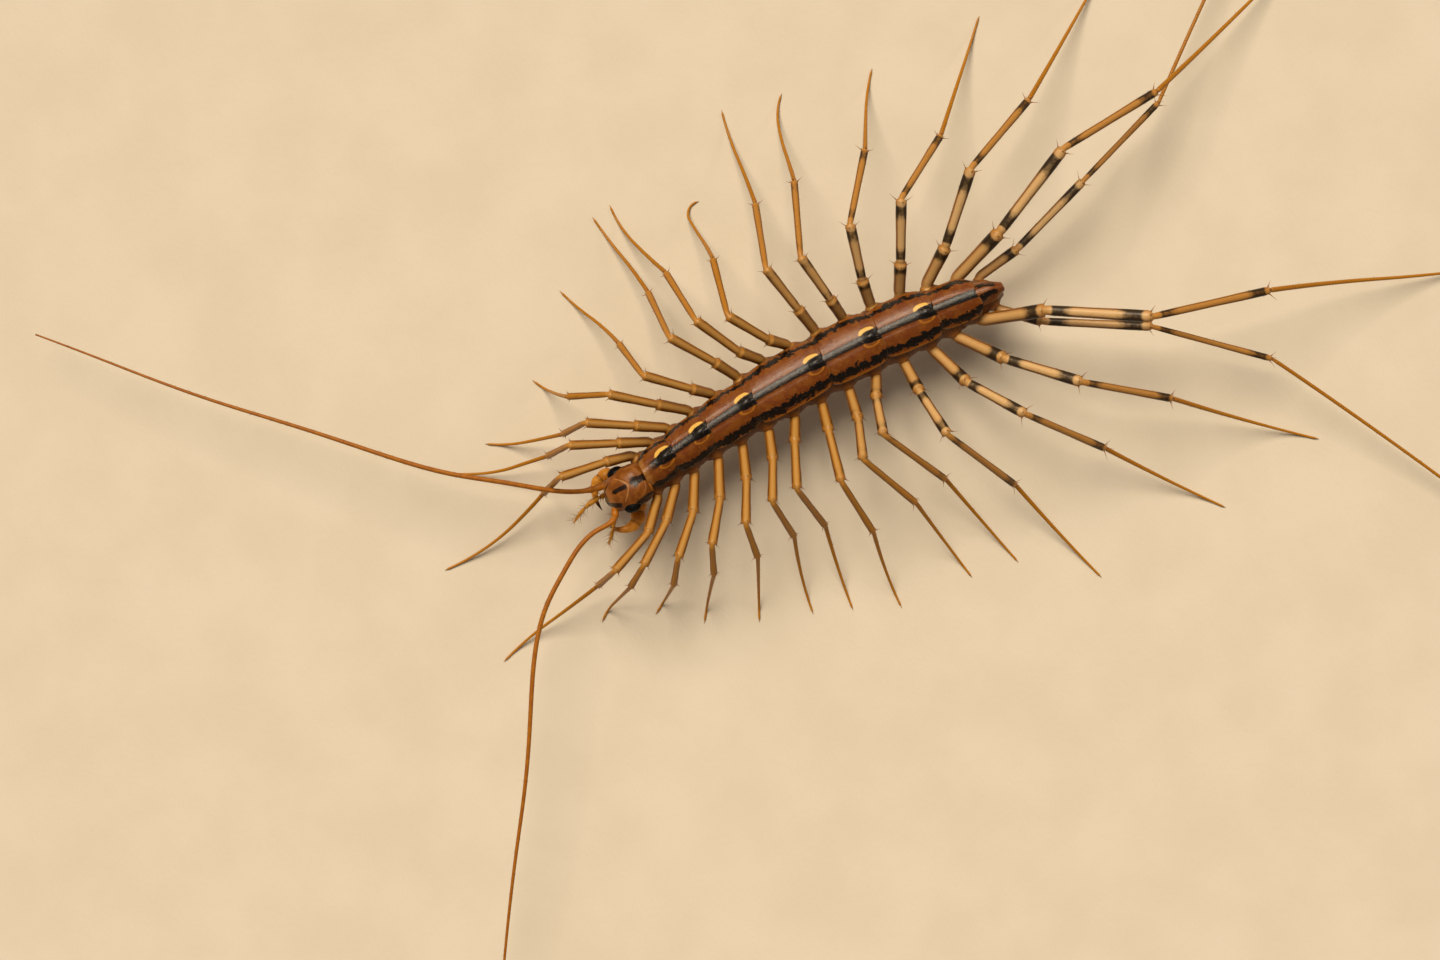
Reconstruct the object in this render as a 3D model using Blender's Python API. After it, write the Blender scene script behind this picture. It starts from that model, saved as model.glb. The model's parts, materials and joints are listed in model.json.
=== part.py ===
"""House centipede (Scutigera coleoptrata), a still life-size model for display.

The animal stands on its thirty leg tips, head toward -Y, left side toward +X, +Z up.
Sizes below are millimetres unless a name says otherwise, and one function turns
them to metres. The origin is the middle of the footprint, at floor level.
"""

import math
import random

import bmesh
import bpy
import numpy as np
from mathutils import Vector

MM = 0.001
GAP = 0.3
EYE_GAP = 0.2
SHARP_EDGE = math.radians(35)

# Body: lengths along Y from the front of the head, widths across the back plates.
HEAD_FRONT_Y = -15.5
HEAD_LENGTH = 3.1
PLATES = (
    ("trunk_1", 2.4, 2.7),
    ("trunk_2", 2.8, 3.0),
    ("trunk_3", 3.6, 3.4),
    ("trunk_4", 5.3, 3.9),
    ("trunk_5", 4.1, 4.0),
    ("trunk_6", 4.0, 3.8),
    ("trunk_7", 3.0, 3.1),
    ("telson", 1.8, 1.75),
)
BOW_DEPTH = 1.35
BOW_MIDDLE_Y = 0.7
HALF_BODY = 15.0
LEAN = math.radians(8)
TRUNK_Z = 4.6
CORE_SHARE = 0.62
CORE_HALF_HEIGHT = 1.2
CORE_SIDES = 10
CORE_PROFILE = ((0.0, 0.86), (0.18, 1.0), (0.82, 1.0), (1.0, 0.86))
SQUARENESS = 0.8
PLATE_EDGE_Z = 5.25
PLATE_THICKNESS = 0.34
PLATE_CROWN = 0.95
PLATE_ARCH = 2.2
PLATE_UNDER_ARCH = 0.85
PLATE_ACROSS = (-1.0, -0.8, -0.45, 0.0, 0.45, 0.8, 1.0)
REAR_NOTCH = 0.18
NOTCH_HALF_WIDTH = 0.5
# Outline of a plate: share of its length, share of its half width, depth of the notch.
PLATE_OUTLINE = (
    (0.0, 0.8, 0.0), (0.14, 0.94, 0.0), (0.5, 1.0, 0.0), (0.86, 0.98, 0.0), (1.0, 0.84, REAR_NOTCH),
)
TELSON_OUTLINE = ((0.0, 1.0, 0.0), (0.4, 0.97, 0.0), (0.78, 0.8, 0.0), (1.0, 0.42, 0.0))
SADDLED_PLATES = ("trunk_1", "trunk_2", "trunk_3", "trunk_4", "trunk_5", "trunk_6")
SADDLE_AXES = (0.4, 0.42, 0.16)
SADDLE_FROM_REAR = 0.75

# Head: sections from the neck forward, each with its Y from the front, half width, low and high Z.
HEAD_SIDES = 16
HEAD_SQUARENESS = 0.85
HEAD_SECTIONS = (
    (0.0, 0.5, 4.15, 4.95),
    (0.15, 0.82, 3.95, 5.32),
    (0.55, 1.13, 3.75, 5.75),
    (1.2, 1.37, 3.65, 6.1),
    (1.9, 1.42, 3.6, 6.25),
    (2.5, 1.3, 3.65, 6.2),
    (2.95, 0.9, 3.9, 5.95),
)
LIP_PLACE = (0.0, 0.35, 3.85)
LIP_AXES = (0.5, 0.45, 0.28)
JAW_PLACE = (0.55, 0.9, 3.6)
JAW_AXES = (0.4, 0.6, 0.3)
SOCKET_PLACE = (0.82, 0.6, 4.95)
SOCKET_AXES = (0.36, 0.4, 0.34)
EYE_PLACE = (1.24, 1.35, 5.15)
EYE_AXES = (0.34, 0.46, 0.36)

# Mouth claws and palps: lateral place from the head's middle line, Y from its front, Z.
CLAW_PATHS = {
    "left": (
        (0.75, 1.9, 3.0), (1.5, 1.6, 2.95), (2.2, 1.0, 3.0), (2.35, 0.35, 3.05),
        (2.15, -0.25, 3.1), (1.8, -0.6, 3.1), (1.4, -0.75, 3.1),
    ),
    "right": (
        (0.75, 1.9, 2.85), (1.25, 1.4, 2.8), (1.5, 0.6, 2.85), (1.4, -0.05, 2.9),
        (0.95, -0.5, 3.0), (0.3, -0.72, 3.05), (-0.45, -0.68, 3.05),
    ),
}
CLAW_RADII = (0.42, 0.5, 0.5, 0.42, 0.3, 0.18, 0.07)
CLAW_SIDES = 8
PALP_PATHS = {
    "left": ((0.35, 0.6, 2.75), (1.3, -0.2, 3.95), (2.1, -0.75, 4.0), (2.7, -1.4, 3.5)),
    "right": ((0.3, 0.6, 2.75), (0.4, -0.6, 3.95), (0.2, -1.7, 3.9), (-0.3, -2.8, 3.2)),
}
PALP_RADII = (0.22, 0.26, 0.25, 0.1)
PALP_BRISTLES = 8
BRISTLES_FROM = 0.25
BRISTLES_TO = 0.9
BRISTLE_LEAN = 0.6
BRISTLE_RISE = 0.5
BRISTLE_LENGTH = 0.55
BRISTLE_RADIUS = 0.11

# Legs: one value for each named pair, the pairs between are interpolated.
HIP_Y = {1: -12.3, 3: -9.4, 5: -5.7, 8: 0.3, 12: 8.5, 13: 10.3, 14: 12.2, 15: 13.6}
HIP_Z = {1: 4.1, 13: 4.1, 14: 4.3, 15: 3.9}
HIP_SHIFT = {"left": 0.0, "right": -0.2}
TROCHANTER_OUT = 0.25
TROCHANTER_RISE = 0.1
KNEE_BASE_Z = {1: 5.9, 13: 6.2, 14: 6.5, 15: 4.6}
KNEE_Z = {1: 7.4, 3: 7.8, 8: 8.2, 13: 8.4, 14: 8.1, 15: 5.4}
ANKLE_Z_RANGE = (2.6, 5.4)
ANKLE_Z_REAR = {14: 6.0, 15: 3.3}
TARSUS_LENGTH = {1: 9.0, 3: 6.6, 5: 7.0, 8: 7.2, 11: 9.0, 12: 10.0, 13: 12.0}
REACH = {
    "left": {
        "prefemur": {
            1: 2.6, 4: 2.9, 6: 2.1, 7: 1.8, 9: 2.2, 10: 1.6,
            11: 2.3, 12: 3.3, 13: 3.6, 14: 4.3, 15: 3.2,
        },
        "femur": {1: 3.4, 6: 2.8, 8: 3.5, 9: 2.7, 10: 2.5, 11: 3.4, 12: 4.3, 13: 5.2, 14: 7.0, 15: 7.3},
        "tibia": {1: 1.6, 4: 2.0, 7: 3.2, 8: 4.1, 11: 6.0, 13: 6.5, 14: 8.3, 15: 8.6},
    },
    "right": {
        "prefemur": {
            1: 2.0, 2: 2.3, 4: 2.3, 5: 1.5, 6: 1.8, 7: 1.7, 8: 1.4, 9: 1.8,
            10: 1.4, 12: 2.0, 13: 2.8, 14: 4.2, 15: 3.3,
        },
        "femur": {
            1: 3.1, 5: 3.3, 7: 3.5, 8: 3.1, 9: 3.4, 10: 3.4,
            11: 3.7, 12: 4.1, 13: 5.3, 14: 6.8, 15: 6.3,
        },
        "tibia": {
            1: 1.7, 3: 1.8, 4: 2.8, 5: 2.8, 6: 3.6, 7: 4.0, 8: 4.1, 9: 4.7,
            10: 5.3, 12: 5.4, 13: 6.5, 14: 7.6, 15: 7.6,
        },
    },
}
# Headings in degrees, from straight out sideways, + toward the tail: prefemur, femur,
# tibia, then the tarsus at equal steps, and last how far the tarsus reaches.
POSE = {
    "left": (
        (-43, -69, -77, (-80, -82, -72), 8.4),
        (-42, -55, -60, (-73, -73, -49), 3.3),
        (-30, -46, -38, (-57, -61), 2.5),
        (-26, -38, -24, (-42, -36), 3.5),
        (-22, -29, -8, (-25, -27), 4.5),
        (-21, -29, 5, (-19, -8), 5.5),
        (-30, -26, 11, (-11, -7), 6.1),
        (-16, -15, 6, (-10, -2), 5.6),
        (-13, -23, 24, (11, 10), 6.5),
        (-31, -19, 28, (15, 14), 7.6),
        (-3, 3, 28, (15, 17), 8.7),
        (16, 32, 41, (36, 38), 9.4),
        (35, 44, 53, (47, 49), 10.9),
        (70, 58, 75, (71, 67, 70), 16.0),
        (46, 59, 48, (29, 26, 27), 34.0),
    ),
    "right": (
        (-77, -81, -102, (-110, -106, -95, -85), 8.7),
        (-65, -65, -85, (-79, -80, -66, -58), 7.2),
        (-59, -59, -85, (-74, -72, -56), 5.5),
        (-52, -51, -64, (-50, -23), 2.9),
        (-50, -47, -9, (-13, -25, -17), 5.6),
        (-31, -34, 3, (-5, -11, -6), 6.5),
        (-44, -27, -3, (-20, -15, 6), 6.2),
        (-50, -33, 14, (5, -4, 0, 109), 5.0),
        (-13, -12, 20, (10, 6, 14), 7.0),
        (-10, -9, 24, (15, 12, 20, 49), 6.5),
        (6, 14, 40, (32, 32, 42), 6.0),
        (28, 27, 60, (47, 47, 45), 9.0),
        (54, 45, 68, (59, 57), 11.2),
        (71, 65, 86, (75, 72), 16.5),
        (82, 72, 72, (52, 54, 50), 34.0),
    ),
}
SPLIT_PAIRS = (14, 15)
LEG_SIDES = 6
LEG_SCALE = {1: 0.92, 10: 1.0, 12: 1.08, 13: 1.15, 14: 1.28, 15: 0.85}
COXA_RADIUS = 0.4
PREFEMUR_RADIUS = 0.42
FEMUR_RADIUS = 0.36
TIBIA_RADIUS = 0.28
PODOMERE_PROFILE = ((0.1, 0.86), (0.9, 1.08), (1.0, 0.76))
TARSUS_RADIUS = 0.25
TARSUS_STEPS = 4
TARSUS_STEPS_LAST = 7
TARSUS_TAPER = 1.5
TARSUS_SAG = 1.5
TARSUS_FINE_STEPS = 60
TIP_RADIUS = 0.12
TIP_FLAT = 0.7
SPINE_LENGTH = 0.75
SPINE_RADIUS = 0.17
SPINE_PLACE = 0.92
SPINE_TIP_RADIUS = 0.04
SPINE_SINK = 0.2
SPINE_OUT = 0.7
SPINE_RISE_RANGE = (0.1, 0.6)
SPINE_ALONG_RANGE = (0.5, 0.9)
SPINE_LENGTH_RANGE = (0.85, 1.15)
NEARLY_UPRIGHT = 0.9

# Feelers: headings from straight out sideways at distances along each one.
ANTENNA_LENGTH = 40.0
ANTENNA_STEP = 0.2
ANTENNA_RADII = {0: 0.27, 12: 0.25, 40: 0.14}
ANTENNA_SPLIT = 18.0
ANTENNA_ROOT = (0.95, 0.12)
ANTENNA_HEADINGS = {
    "left": {
        0.0: -25, 0.9: -50, 1.6: -95, 2.6: -75, 4.0: -62, 7.0: -55, 9.5: -42, 24.0: -36, 40.0: -31,
    },
    "right": {0.0: -85, 1.6: -66, 3.0: -57, 9.0: -53, 12.0: -47, 25.0: -45, 33.0: -41, 40.0: -42},
}
ANTENNA_HEIGHTS = {0: 4.9, 2.5: 5.3, 12: 5.6, 25: 4.6, 40: 3.2}
ANTENNA_STEPS = {
    "base": (0.0, 0.8, 1.6, 2.6, 4.0, 6.0, 9.0, 12.0, 15.0),
    "whip": (0.0, 4.0, 8.0, 12.0, 17.0),
}

COLOURS = {
    "shell": "8A4B1C",
    "head": "7A3E18",
    "eye": "0B0A0B",
    "venom_claw": "B4741F",
    "palp": "C28A45",
    "antenna": "A5561B",
    "leg": "B57F3A",
}
ROUGHNESS = {
    "shell": 0.35,
    "head": 0.3,
    "eye": 0.15,
    "venom_claw": 0.3,
    "palp": 0.4,
    "antenna": 0.45,
    "leg": 0.35,
}


def clear_scene():
    for item in list(bpy.data.objects):
        bpy.data.objects.remove(item, do_unlink=True)


def new_collection(name):
    group = bpy.data.collections.new(name)
    bpy.context.scene.collection.children.link(group)
    return group


def linear(part):
    return part / 12.92 if part <= 0.04045 else ((part + 0.055) / 1.055) ** 2.4


def new_material(name):
    code = COLOURS[name]
    colour = [linear(int(code[i : i + 2], 16) / 255) for i in (0, 2, 4)]
    material = bpy.data.materials.new(name)
    material.use_nodes = True
    shader = material.node_tree.nodes["Principled BSDF"]
    shader.inputs["Base Color"].default_value = (*colour, 1.0)
    shader.inputs["Roughness"].default_value = ROUGHNESS[name]
    shader.inputs["Metallic"].default_value = 0.0
    return material


def keyed(keys, at):
    places = sorted(keys)
    return float(np.interp(at, places, [keys[place] for place in places]))


def side_sign(side):
    return 1.0 if side == "left" else -1.0


def middle_x(y):
    """The body bows a little, its middle toward the right side."""
    return BOW_DEPTH * ((y - BOW_MIDDLE_Y) / HALF_BODY) ** 2


def leant(point, middle):
    """The body leans over a little to its right, round a line along its middle."""
    out = point.x - middle
    up = point.z - TRUNK_Z
    x = middle + out * math.cos(LEAN) - up * math.sin(LEAN)
    return Vector((x, point.y, TRUNK_Z + up * math.cos(LEAN) + out * math.sin(LEAN)))


def plate_spans():
    """Name, front Y, rear Y and half width of each back plate."""
    y = HEAD_FRONT_Y + HEAD_LENGTH
    for name, length, width in PLATES:
        yield name, y, y + length, width / 2
        y += length


def body_half_width(y):
    middles = {(front + rear) / 2: half for _, front, rear, half in plate_spans()}
    return keyed(middles, y)


def heading_step(side, degrees, reach):
    angle = math.radians(degrees)
    return Vector((side_sign(side) * math.cos(angle) * reach, math.sin(angle) * reach, 0.0))


def ankle_height(pair, reach):
    """The height from which a tarsus of its real length reaches that far along the floor."""
    if pair in ANKLE_Z_REAR:
        return ANKLE_Z_REAR[pair]
    rise = math.sqrt(max(keyed(TARSUS_LENGTH, pair) ** 2 - reach**2, 0.0))
    return min(max(rise, ANKLE_Z_RANGE[0]), ANKLE_Z_RANGE[1])


def leg_joints(side, pair):
    """Hip, trochanter, and the far ends of prefemur, femur and tibia."""
    sign = side_sign(side)
    prefemur, femur, tibia, _, tarsus_reach = POSE[side][pair - 1]
    y = keyed(HIP_Y, pair) + HIP_SHIFT[side]
    half = body_half_width(y)
    hip_z = keyed(HIP_Z, pair)
    hip = Vector((middle_x(y) + sign * (half * CORE_SHARE + GAP), y, hip_z))
    trochanter = Vector((middle_x(y) + sign * (half + TROCHANTER_OUT), y, hip_z + TROCHANTER_RISE))
    joints = [hip, trochanter]
    stages = (
        ("prefemur", prefemur, keyed(KNEE_BASE_Z, pair)),
        ("femur", femur, keyed(KNEE_Z, pair)),
        ("tibia", tibia, ankle_height(pair, tarsus_reach)),
    )
    for name, heading, height in stages:
        place = joints[-1] + heading_step(side, heading, keyed(REACH[side][name], pair))
        place.z = height
        joints.append(place)
    return joints


def tarsus_points(side, pair, start, count):
    """Points from the ankle to the tip, the last two level so that the tip lies flat."""
    headings = POSE[side][pair - 1][3]
    reach = POSE[side][pair - 1][4]
    keys = {i / (len(headings) - 1): heading for i, heading in enumerate(headings)}
    flat_z = TIP_RADIUS * math.cos(math.pi / LEG_SIDES)
    fine = TARSUS_FINE_STEPS
    flat_share = TIP_FLAT / reach
    path = [start.copy()]
    for i in range(fine):
        share = (i + 0.5) / fine
        path.append(path[-1] + heading_step(side, keyed(keys, share), reach / fine))
    shares = [0.0] + [(1 - flat_share) * (i / count) for i in range(1, count + 1)] + [1.0]
    points = []
    for share in shares:
        at = share * fine
        low = min(int(at), fine - 1)
        place = path[low].lerp(path[low + 1], at - low)
        fall = max(1 - share / (1 - flat_share), 0.0)
        place.z = flat_z + (start.z - flat_z) * fall**TARSUS_SAG
        points.append(place)
    return points


def ring(centre, along, radius, sides, flatten=1.0):
    across = along.cross(Vector((0, 0, 1))).normalized()
    upward = across.cross(along).normalized()
    turn = 2 * math.pi / sides
    return [
        centre + radius * (math.cos(k * turn) * across + flatten * math.sin(k * turn) * upward)
        for k in range(sides)
    ]


def loft(name, rings, material):
    """A closed body through rings of one even number of points, its ends closed in strips."""
    shape = bmesh.new()
    rows = [[shape.verts.new(point * MM) for point in points] for points in rings]
    count = len(rows[0])
    for first, second in zip(rows, rows[1:]):
        for k in range(count):
            nxt = (k + 1) % count
            shape.faces.new((first[k], first[nxt], second[nxt], second[k]))
    for row in (rows[0], rows[-1]):
        for k in range(count // 2 - 1):
            shape.faces.new((row[k], row[k + 1], row[count - 2 - k], row[count - 1 - k]))
    bmesh.ops.triangulate(shape, faces=shape.faces[:])
    bmesh.ops.recalc_face_normals(shape, faces=shape.faces[:])
    return finish_shape(name, shape, material)


def finish_shape(name, shape, material):
    mesh = bpy.data.meshes.new(name)
    shape.to_mesh(mesh)
    shape.free()
    mesh.materials.append(material)
    item = bpy.data.objects.new(name, mesh)
    parts.objects.link(item)
    return item


def tube(name, points, radii, sides, material, flatten=1.0):
    rings = []
    for i, point in enumerate(points):
        before = points[max(i - 1, 0)]
        after = points[min(i + 1, len(points) - 1)]
        along = (after - before).normalized()
        rings.append(ring(point, along, radii[i], sides, flatten))
    return loft(name, rings, material)


def thorn(root, direction, length, radius, material):
    """A tapering spine of four sides, its root sunk into what it grows from."""
    direction = direction.normalized()
    start = root - direction * SPINE_SINK
    end = root + direction * length
    helper = Vector((1, 0, 0)) if abs(direction.z) > NEARLY_UPRIGHT else Vector((0, 0, 1))
    across = direction.cross(helper).normalized()
    other = across.cross(direction).normalized()
    rings = []
    for centre, size in ((start, radius), (end, SPINE_TIP_RADIUS)):
        rings.append([centre + size * way for way in (across, other, -across, -other)])
    return loft("thorn", rings, material)


def fuse(item, pieces):
    """One Boolean union of the node with its pieces, of which the largest body stays."""
    if not pieces:
        return item
    group = bpy.data.collections.new("pieces")
    for piece in pieces:
        group.objects.link(piece)
        parts.objects.unlink(piece)
    joint = item.modifiers.new("join", "BOOLEAN")
    joint.operation = "UNION"
    joint.operand_type = "COLLECTION"
    joint.collection = group
    joint.solver = "EXACT"
    bpy.context.view_layer.update()
    graph = bpy.context.evaluated_depsgraph_get()
    joined = bpy.data.meshes.new_from_object(item.evaluated_get(graph))
    item.modifiers.remove(joint)
    item.data = joined
    for piece in pieces:
        bpy.data.objects.remove(piece, do_unlink=True)
    bpy.data.collections.remove(group)
    keep_largest(item)
    return item


def keep_largest(item):
    shape = bmesh.new()
    shape.from_mesh(item.data)
    unseen = set(shape.verts)
    bodies = []
    while unseen:
        todo = [unseen.pop()]
        body = list(todo)
        while todo:
            for edge in todo.pop().link_edges:
                for vert in edge.verts:
                    if vert in unseen:
                        unseen.remove(vert)
                        todo.append(vert)
                        body.append(vert)
        bodies.append(body)
    bodies.sort(key=body_extent)
    for body in bodies[:-1]:
        bmesh.ops.delete(shape, geom=body, context="VERTS")
    shape.to_mesh(item.data)
    shape.free()


def body_extent(body):
    spans = [max(v.co[k] for v in body) - min(v.co[k] for v in body) for k in range(3)]
    return spans[0] * spans[1] * spans[2]


def rounded_square(sides, squareness):
    """Points round a unit outline between a circle, at 1, and a square, toward 0."""
    for k in range(sides):
        angle = 2 * math.pi * k / sides
        c = math.cos(angle)
        s = math.sin(angle)
        yield math.copysign(abs(c) ** squareness, c), math.copysign(abs(s) ** squareness, s)


def core_section(y, half_width, half_height):
    """A section of the trunk below its plate."""
    middle = middle_x(y)
    points = []
    for x, z in rounded_square(CORE_SIDES, SQUARENESS):
        points.append(leant(Vector((middle + half_width * x, y, TRUNK_Z + half_height * z)), middle))
    return points


def plate_section(y, half_width, notch):
    """One section of a back plate: an arched strip, thinner toward its edges."""
    top = []
    under = []
    middle = middle_x(y)
    for share in PLATE_ACROSS:
        arch = PLATE_CROWN * (1 - abs(share) ** PLATE_ARCH)
        back = notch * max(1 - abs(share) / NOTCH_HALF_WIDTH, 0.0)
        x = middle + share * half_width
        under_z = PLATE_EDGE_Z + arch * PLATE_UNDER_ARCH - PLATE_THICKNESS
        top.append(leant(Vector((x, y - back, PLATE_EDGE_Z + arch)), middle))
        under.append(leant(Vector((x, y - back, under_z)), middle))
    return top + under[::-1]


def trunk_segment(name, front, rear, half):
    """One body ring: its core, its back plate, and the saddle round the plate's air slit."""
    front += GAP / 2
    rear -= GAP / 2
    length = rear - front
    core_sections = [
        core_section(front + share * length, half * CORE_SHARE * size, CORE_HALF_HEIGHT * size)
        for share, size in CORE_PROFILE
    ]
    core = loft(name, core_sections, shell)
    outline = TELSON_OUTLINE if name == "telson" else PLATE_OUTLINE
    plate_sections = [
        plate_section(front + share * length, half * size, notch) for share, size, notch in outline
    ]
    pieces = [loft("plate", plate_sections, shell)]
    if name in SADDLED_PLATES:
        y = rear - SADDLE_FROM_REAR
        place = Vector((middle_x(y), y, PLATE_EDGE_Z + PLATE_CROWN))
        pieces.append(leaning_ball("saddle", place, SADDLE_AXES, shell, 6, 10))
    return fuse(core, pieces)


def head_middle():
    """The head lies straight, so its middle line has one X."""
    return middle_x(HEAD_FRONT_Y + HEAD_LENGTH / 2)


def mouth_place(sign, place):
    """A named place on one side of the head, its Y counted from the head's front."""
    lateral, behind_front, z = place
    return Vector((head_middle() + sign * lateral, HEAD_FRONT_Y + behind_front, z))


def head_place(sign, place):
    """The same on the head itself, which leans with the body."""
    return leant(mouth_place(sign, place), head_middle())


def head_section(behind_front, half_width, low, high):
    centre = (low + high) / 2
    half_height = (high - low) / 2
    outline = rounded_square(HEAD_SIDES, HEAD_SQUARENESS)
    return [head_place(1, (half_width * x, behind_front, centre + half_height * z)) for x, z in outline]


def leaning_ball(name, centre, axes, material, rows=8, columns=12):
    """A stretched ball on the head or trunk, which leans with it."""
    middle = head_middle() if centre.y < HEAD_FRONT_Y + HEAD_LENGTH else middle_x(centre.y)
    shape = bmesh.new()
    bmesh.ops.create_uvsphere(shape, u_segments=columns, v_segments=rows, radius=1.0)
    for vert in shape.verts:
        place = Vector((centre[i] + vert.co[i] * axes[i] for i in range(3)))
        vert.co = leant(place, middle) * MM
    bmesh.ops.triangulate(shape, faces=shape.faces[:])
    return finish_shape(name, shape, material)


def build_head():
    head = loft("head", [head_section(*section) for section in HEAD_SECTIONS], head_brown)
    pieces = [leaning_ball("lip", mouth_place(1, LIP_PLACE), LIP_AXES, head_brown, 6, 10)]
    for sign in (-1, 1):
        jaw = leaning_ball("jaw", mouth_place(sign, JAW_PLACE), JAW_AXES, head_brown, 6, 8)
        socket = leaning_ball("socket", mouth_place(sign, SOCKET_PLACE), SOCKET_AXES, head_brown, 6, 8)
        pieces += [jaw, socket]
    fuse(head, pieces)
    hollow_axes = [size + EYE_GAP for size in EYE_AXES]
    for sign in (-1, 1):
        cutter = leaning_ball("eye_hollow", mouth_place(sign, EYE_PLACE), hollow_axes, head_brown, 7, 10)
        cut(head, cutter)
    keep_largest(head)


def cut(item, cutter):
    """Takes the cutter's shape out of the item, then removes the cutter."""
    joint = item.modifiers.new("cut", "BOOLEAN")
    joint.operation = "DIFFERENCE"
    joint.object = cutter
    joint.solver = "EXACT"
    bpy.context.view_layer.update()
    graph = bpy.context.evaluated_depsgraph_get()
    result = bpy.data.meshes.new_from_object(item.evaluated_get(graph))
    item.modifiers.remove(joint)
    item.data = result
    bpy.data.objects.remove(cutter, do_unlink=True)


def build_eyes():
    for side in ("left", "right"):
        place = mouth_place(side_sign(side), EYE_PLACE)
        leaning_ball(f"eye_{side}", place, EYE_AXES, eye_black, 8, 12)


def mouth_points(side, path):
    return [mouth_place(side_sign(side), place) for place in path]


def build_mouthparts():
    for side in ("left", "right"):
        claw_points = mouth_points(side, CLAW_PATHS[side])
        tube(f"forcipule_{side}", claw_points, CLAW_RADII, CLAW_SIDES, claw_amber)
        palp_points = mouth_points(side, PALP_PATHS[side])
        palp = tube(f"palp_{side}", palp_points, PALP_RADII, LEG_SIDES, palp_amber)
        fuse(palp, bristles_along(palp_points))


def bristles_along(points):
    """Bristles on both sides of a palp by turns, leaning toward its tip."""
    bristles = []
    for k in range(PALP_BRISTLES):
        share = BRISTLES_FROM + (BRISTLES_TO - BRISTLES_FROM) * k / (PALP_BRISTLES - 1)
        at = share * (len(points) - 1)
        low = min(int(at), len(points) - 2)
        root = points[low].lerp(points[low + 1], at - low)
        along = (points[low + 1] - points[low]).normalized()
        across = along.cross(Vector((0, 0, 1))).normalized()
        rise = Vector((0, 0, dice.uniform(-BRISTLE_RISE, BRISTLE_RISE)))
        direction = across * (1 if k % 2 else -1) + along * BRISTLE_LEAN + rise
        bristles.append(thorn(root, direction, BRISTLE_LENGTH, BRISTLE_RADIUS, palp_amber))
    return bristles


def antenna_path(side):
    """Points one step apart along the whole feeler, from its socket on the leaning head."""
    place = head_place(side_sign(side), (*ANTENNA_ROOT, ANTENNA_HEIGHTS[0]))
    lift = place.z - ANTENNA_HEIGHTS[0]
    path = []
    for k in range(round(ANTENNA_LENGTH / ANTENNA_STEP) + 1):
        along = k * ANTENNA_STEP
        path.append(Vector((place.x, place.y, lift + keyed(ANTENNA_HEIGHTS, along))))
        place += heading_step(side, keyed(ANTENNA_HEADINGS[side], along), ANTENNA_STEP)
    return path


def build_antennae():
    for side in ("left", "right"):
        path = antenna_path(side)
        whip_start = ANTENNA_SPLIT + GAP
        lengths = {
            "base": [min(at, ANTENNA_SPLIT) for at in ANTENNA_STEPS["base"]] + [ANTENNA_SPLIT],
            "whip": [whip_start + at for at in ANTENNA_STEPS["whip"]] + [ANTENNA_LENGTH],
        }
        for name, stops in lengths.items():
            points = [path[round(at / ANTENNA_STEP)] for at in stops]
            radii = [keyed(ANTENNA_RADII, at) for at in stops]
            tube(f"antenna_{side}_{name}", points, radii, LEG_SIDES, antenna_brown)


def podomere(start, end, radius):
    """Ring places and sizes of one leg joint: waisted at its root, flared at its end."""
    return [(start.lerp(end, share), radius * size) for share, size in PODOMERE_PROFILE]


def joint_spines(joints, index, radius):
    """Two spines round the far end of a leg joint, pointing out and on along the leg."""
    along = (joints[index] - joints[index - 1]).normalized()
    across = along.cross(Vector((0, 0, 1))).normalized()
    upward = across.cross(along)
    root = joints[index - 1].lerp(joints[index], SPINE_PLACE)
    spines = []
    for sign in (-1, 1):
        rise = upward * dice.uniform(*SPINE_RISE_RANGE)
        direction = across * sign + rise + along * dice.uniform(*SPINE_ALONG_RANGE)
        length = SPINE_LENGTH * dice.uniform(*SPINE_LENGTH_RANGE)
        start = root + across * sign * radius * SPINE_OUT
        spines.append(thorn(start, direction, length, SPINE_RADIUS, leg_amber))
    return spines


def build_leg(side, pair):
    scale = keyed(LEG_SCALE, pair)
    joints = leg_joints(side, pair)
    stations = [(joints[0], COXA_RADIUS * scale), (joints[1], COXA_RADIUS * scale * 0.9)]
    radii = (PREFEMUR_RADIUS, FEMUR_RADIUS, TIBIA_RADIUS)
    for index, radius in enumerate(radii):
        stations += podomere(joints[index + 1], joints[index + 2], radius * scale)
    tarsus = tarsus_points(side, pair, joints[-1], TARSUS_STEPS_LAST if pair == 15 else TARSUS_STEPS)
    tapers = [(k / (len(tarsus) - 2)) ** TARSUS_TAPER for k in range(len(tarsus) - 1)]
    tarsus_radii = [TARSUS_RADIUS + (TIP_RADIUS - TARSUS_RADIUS) * taper for taper in tapers]
    tarsus_radii.append(TIP_RADIUS)
    spines = []
    for index, radius in enumerate(radii):
        spines += joint_spines(joints, index + 2, radius * scale)
    name = f"leg_{side}_{pair}"
    if pair in SPLIT_PAIRS:
        start = tarsus[0].lerp(tarsus[1], GAP / (tarsus[1] - tarsus[0]).length)
        tube(f"{name}_tarsus", [start] + tarsus[1:], tarsus_radii, LEG_SIDES, leg_amber)
    else:
        stations += list(zip(tarsus[1:], tarsus_radii[1:]))
    points = [place for place, _ in stations]
    leg = tube(name, points, [size for _, size in stations], LEG_SIDES, leg_amber)
    return fuse(leg, spines)


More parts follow.
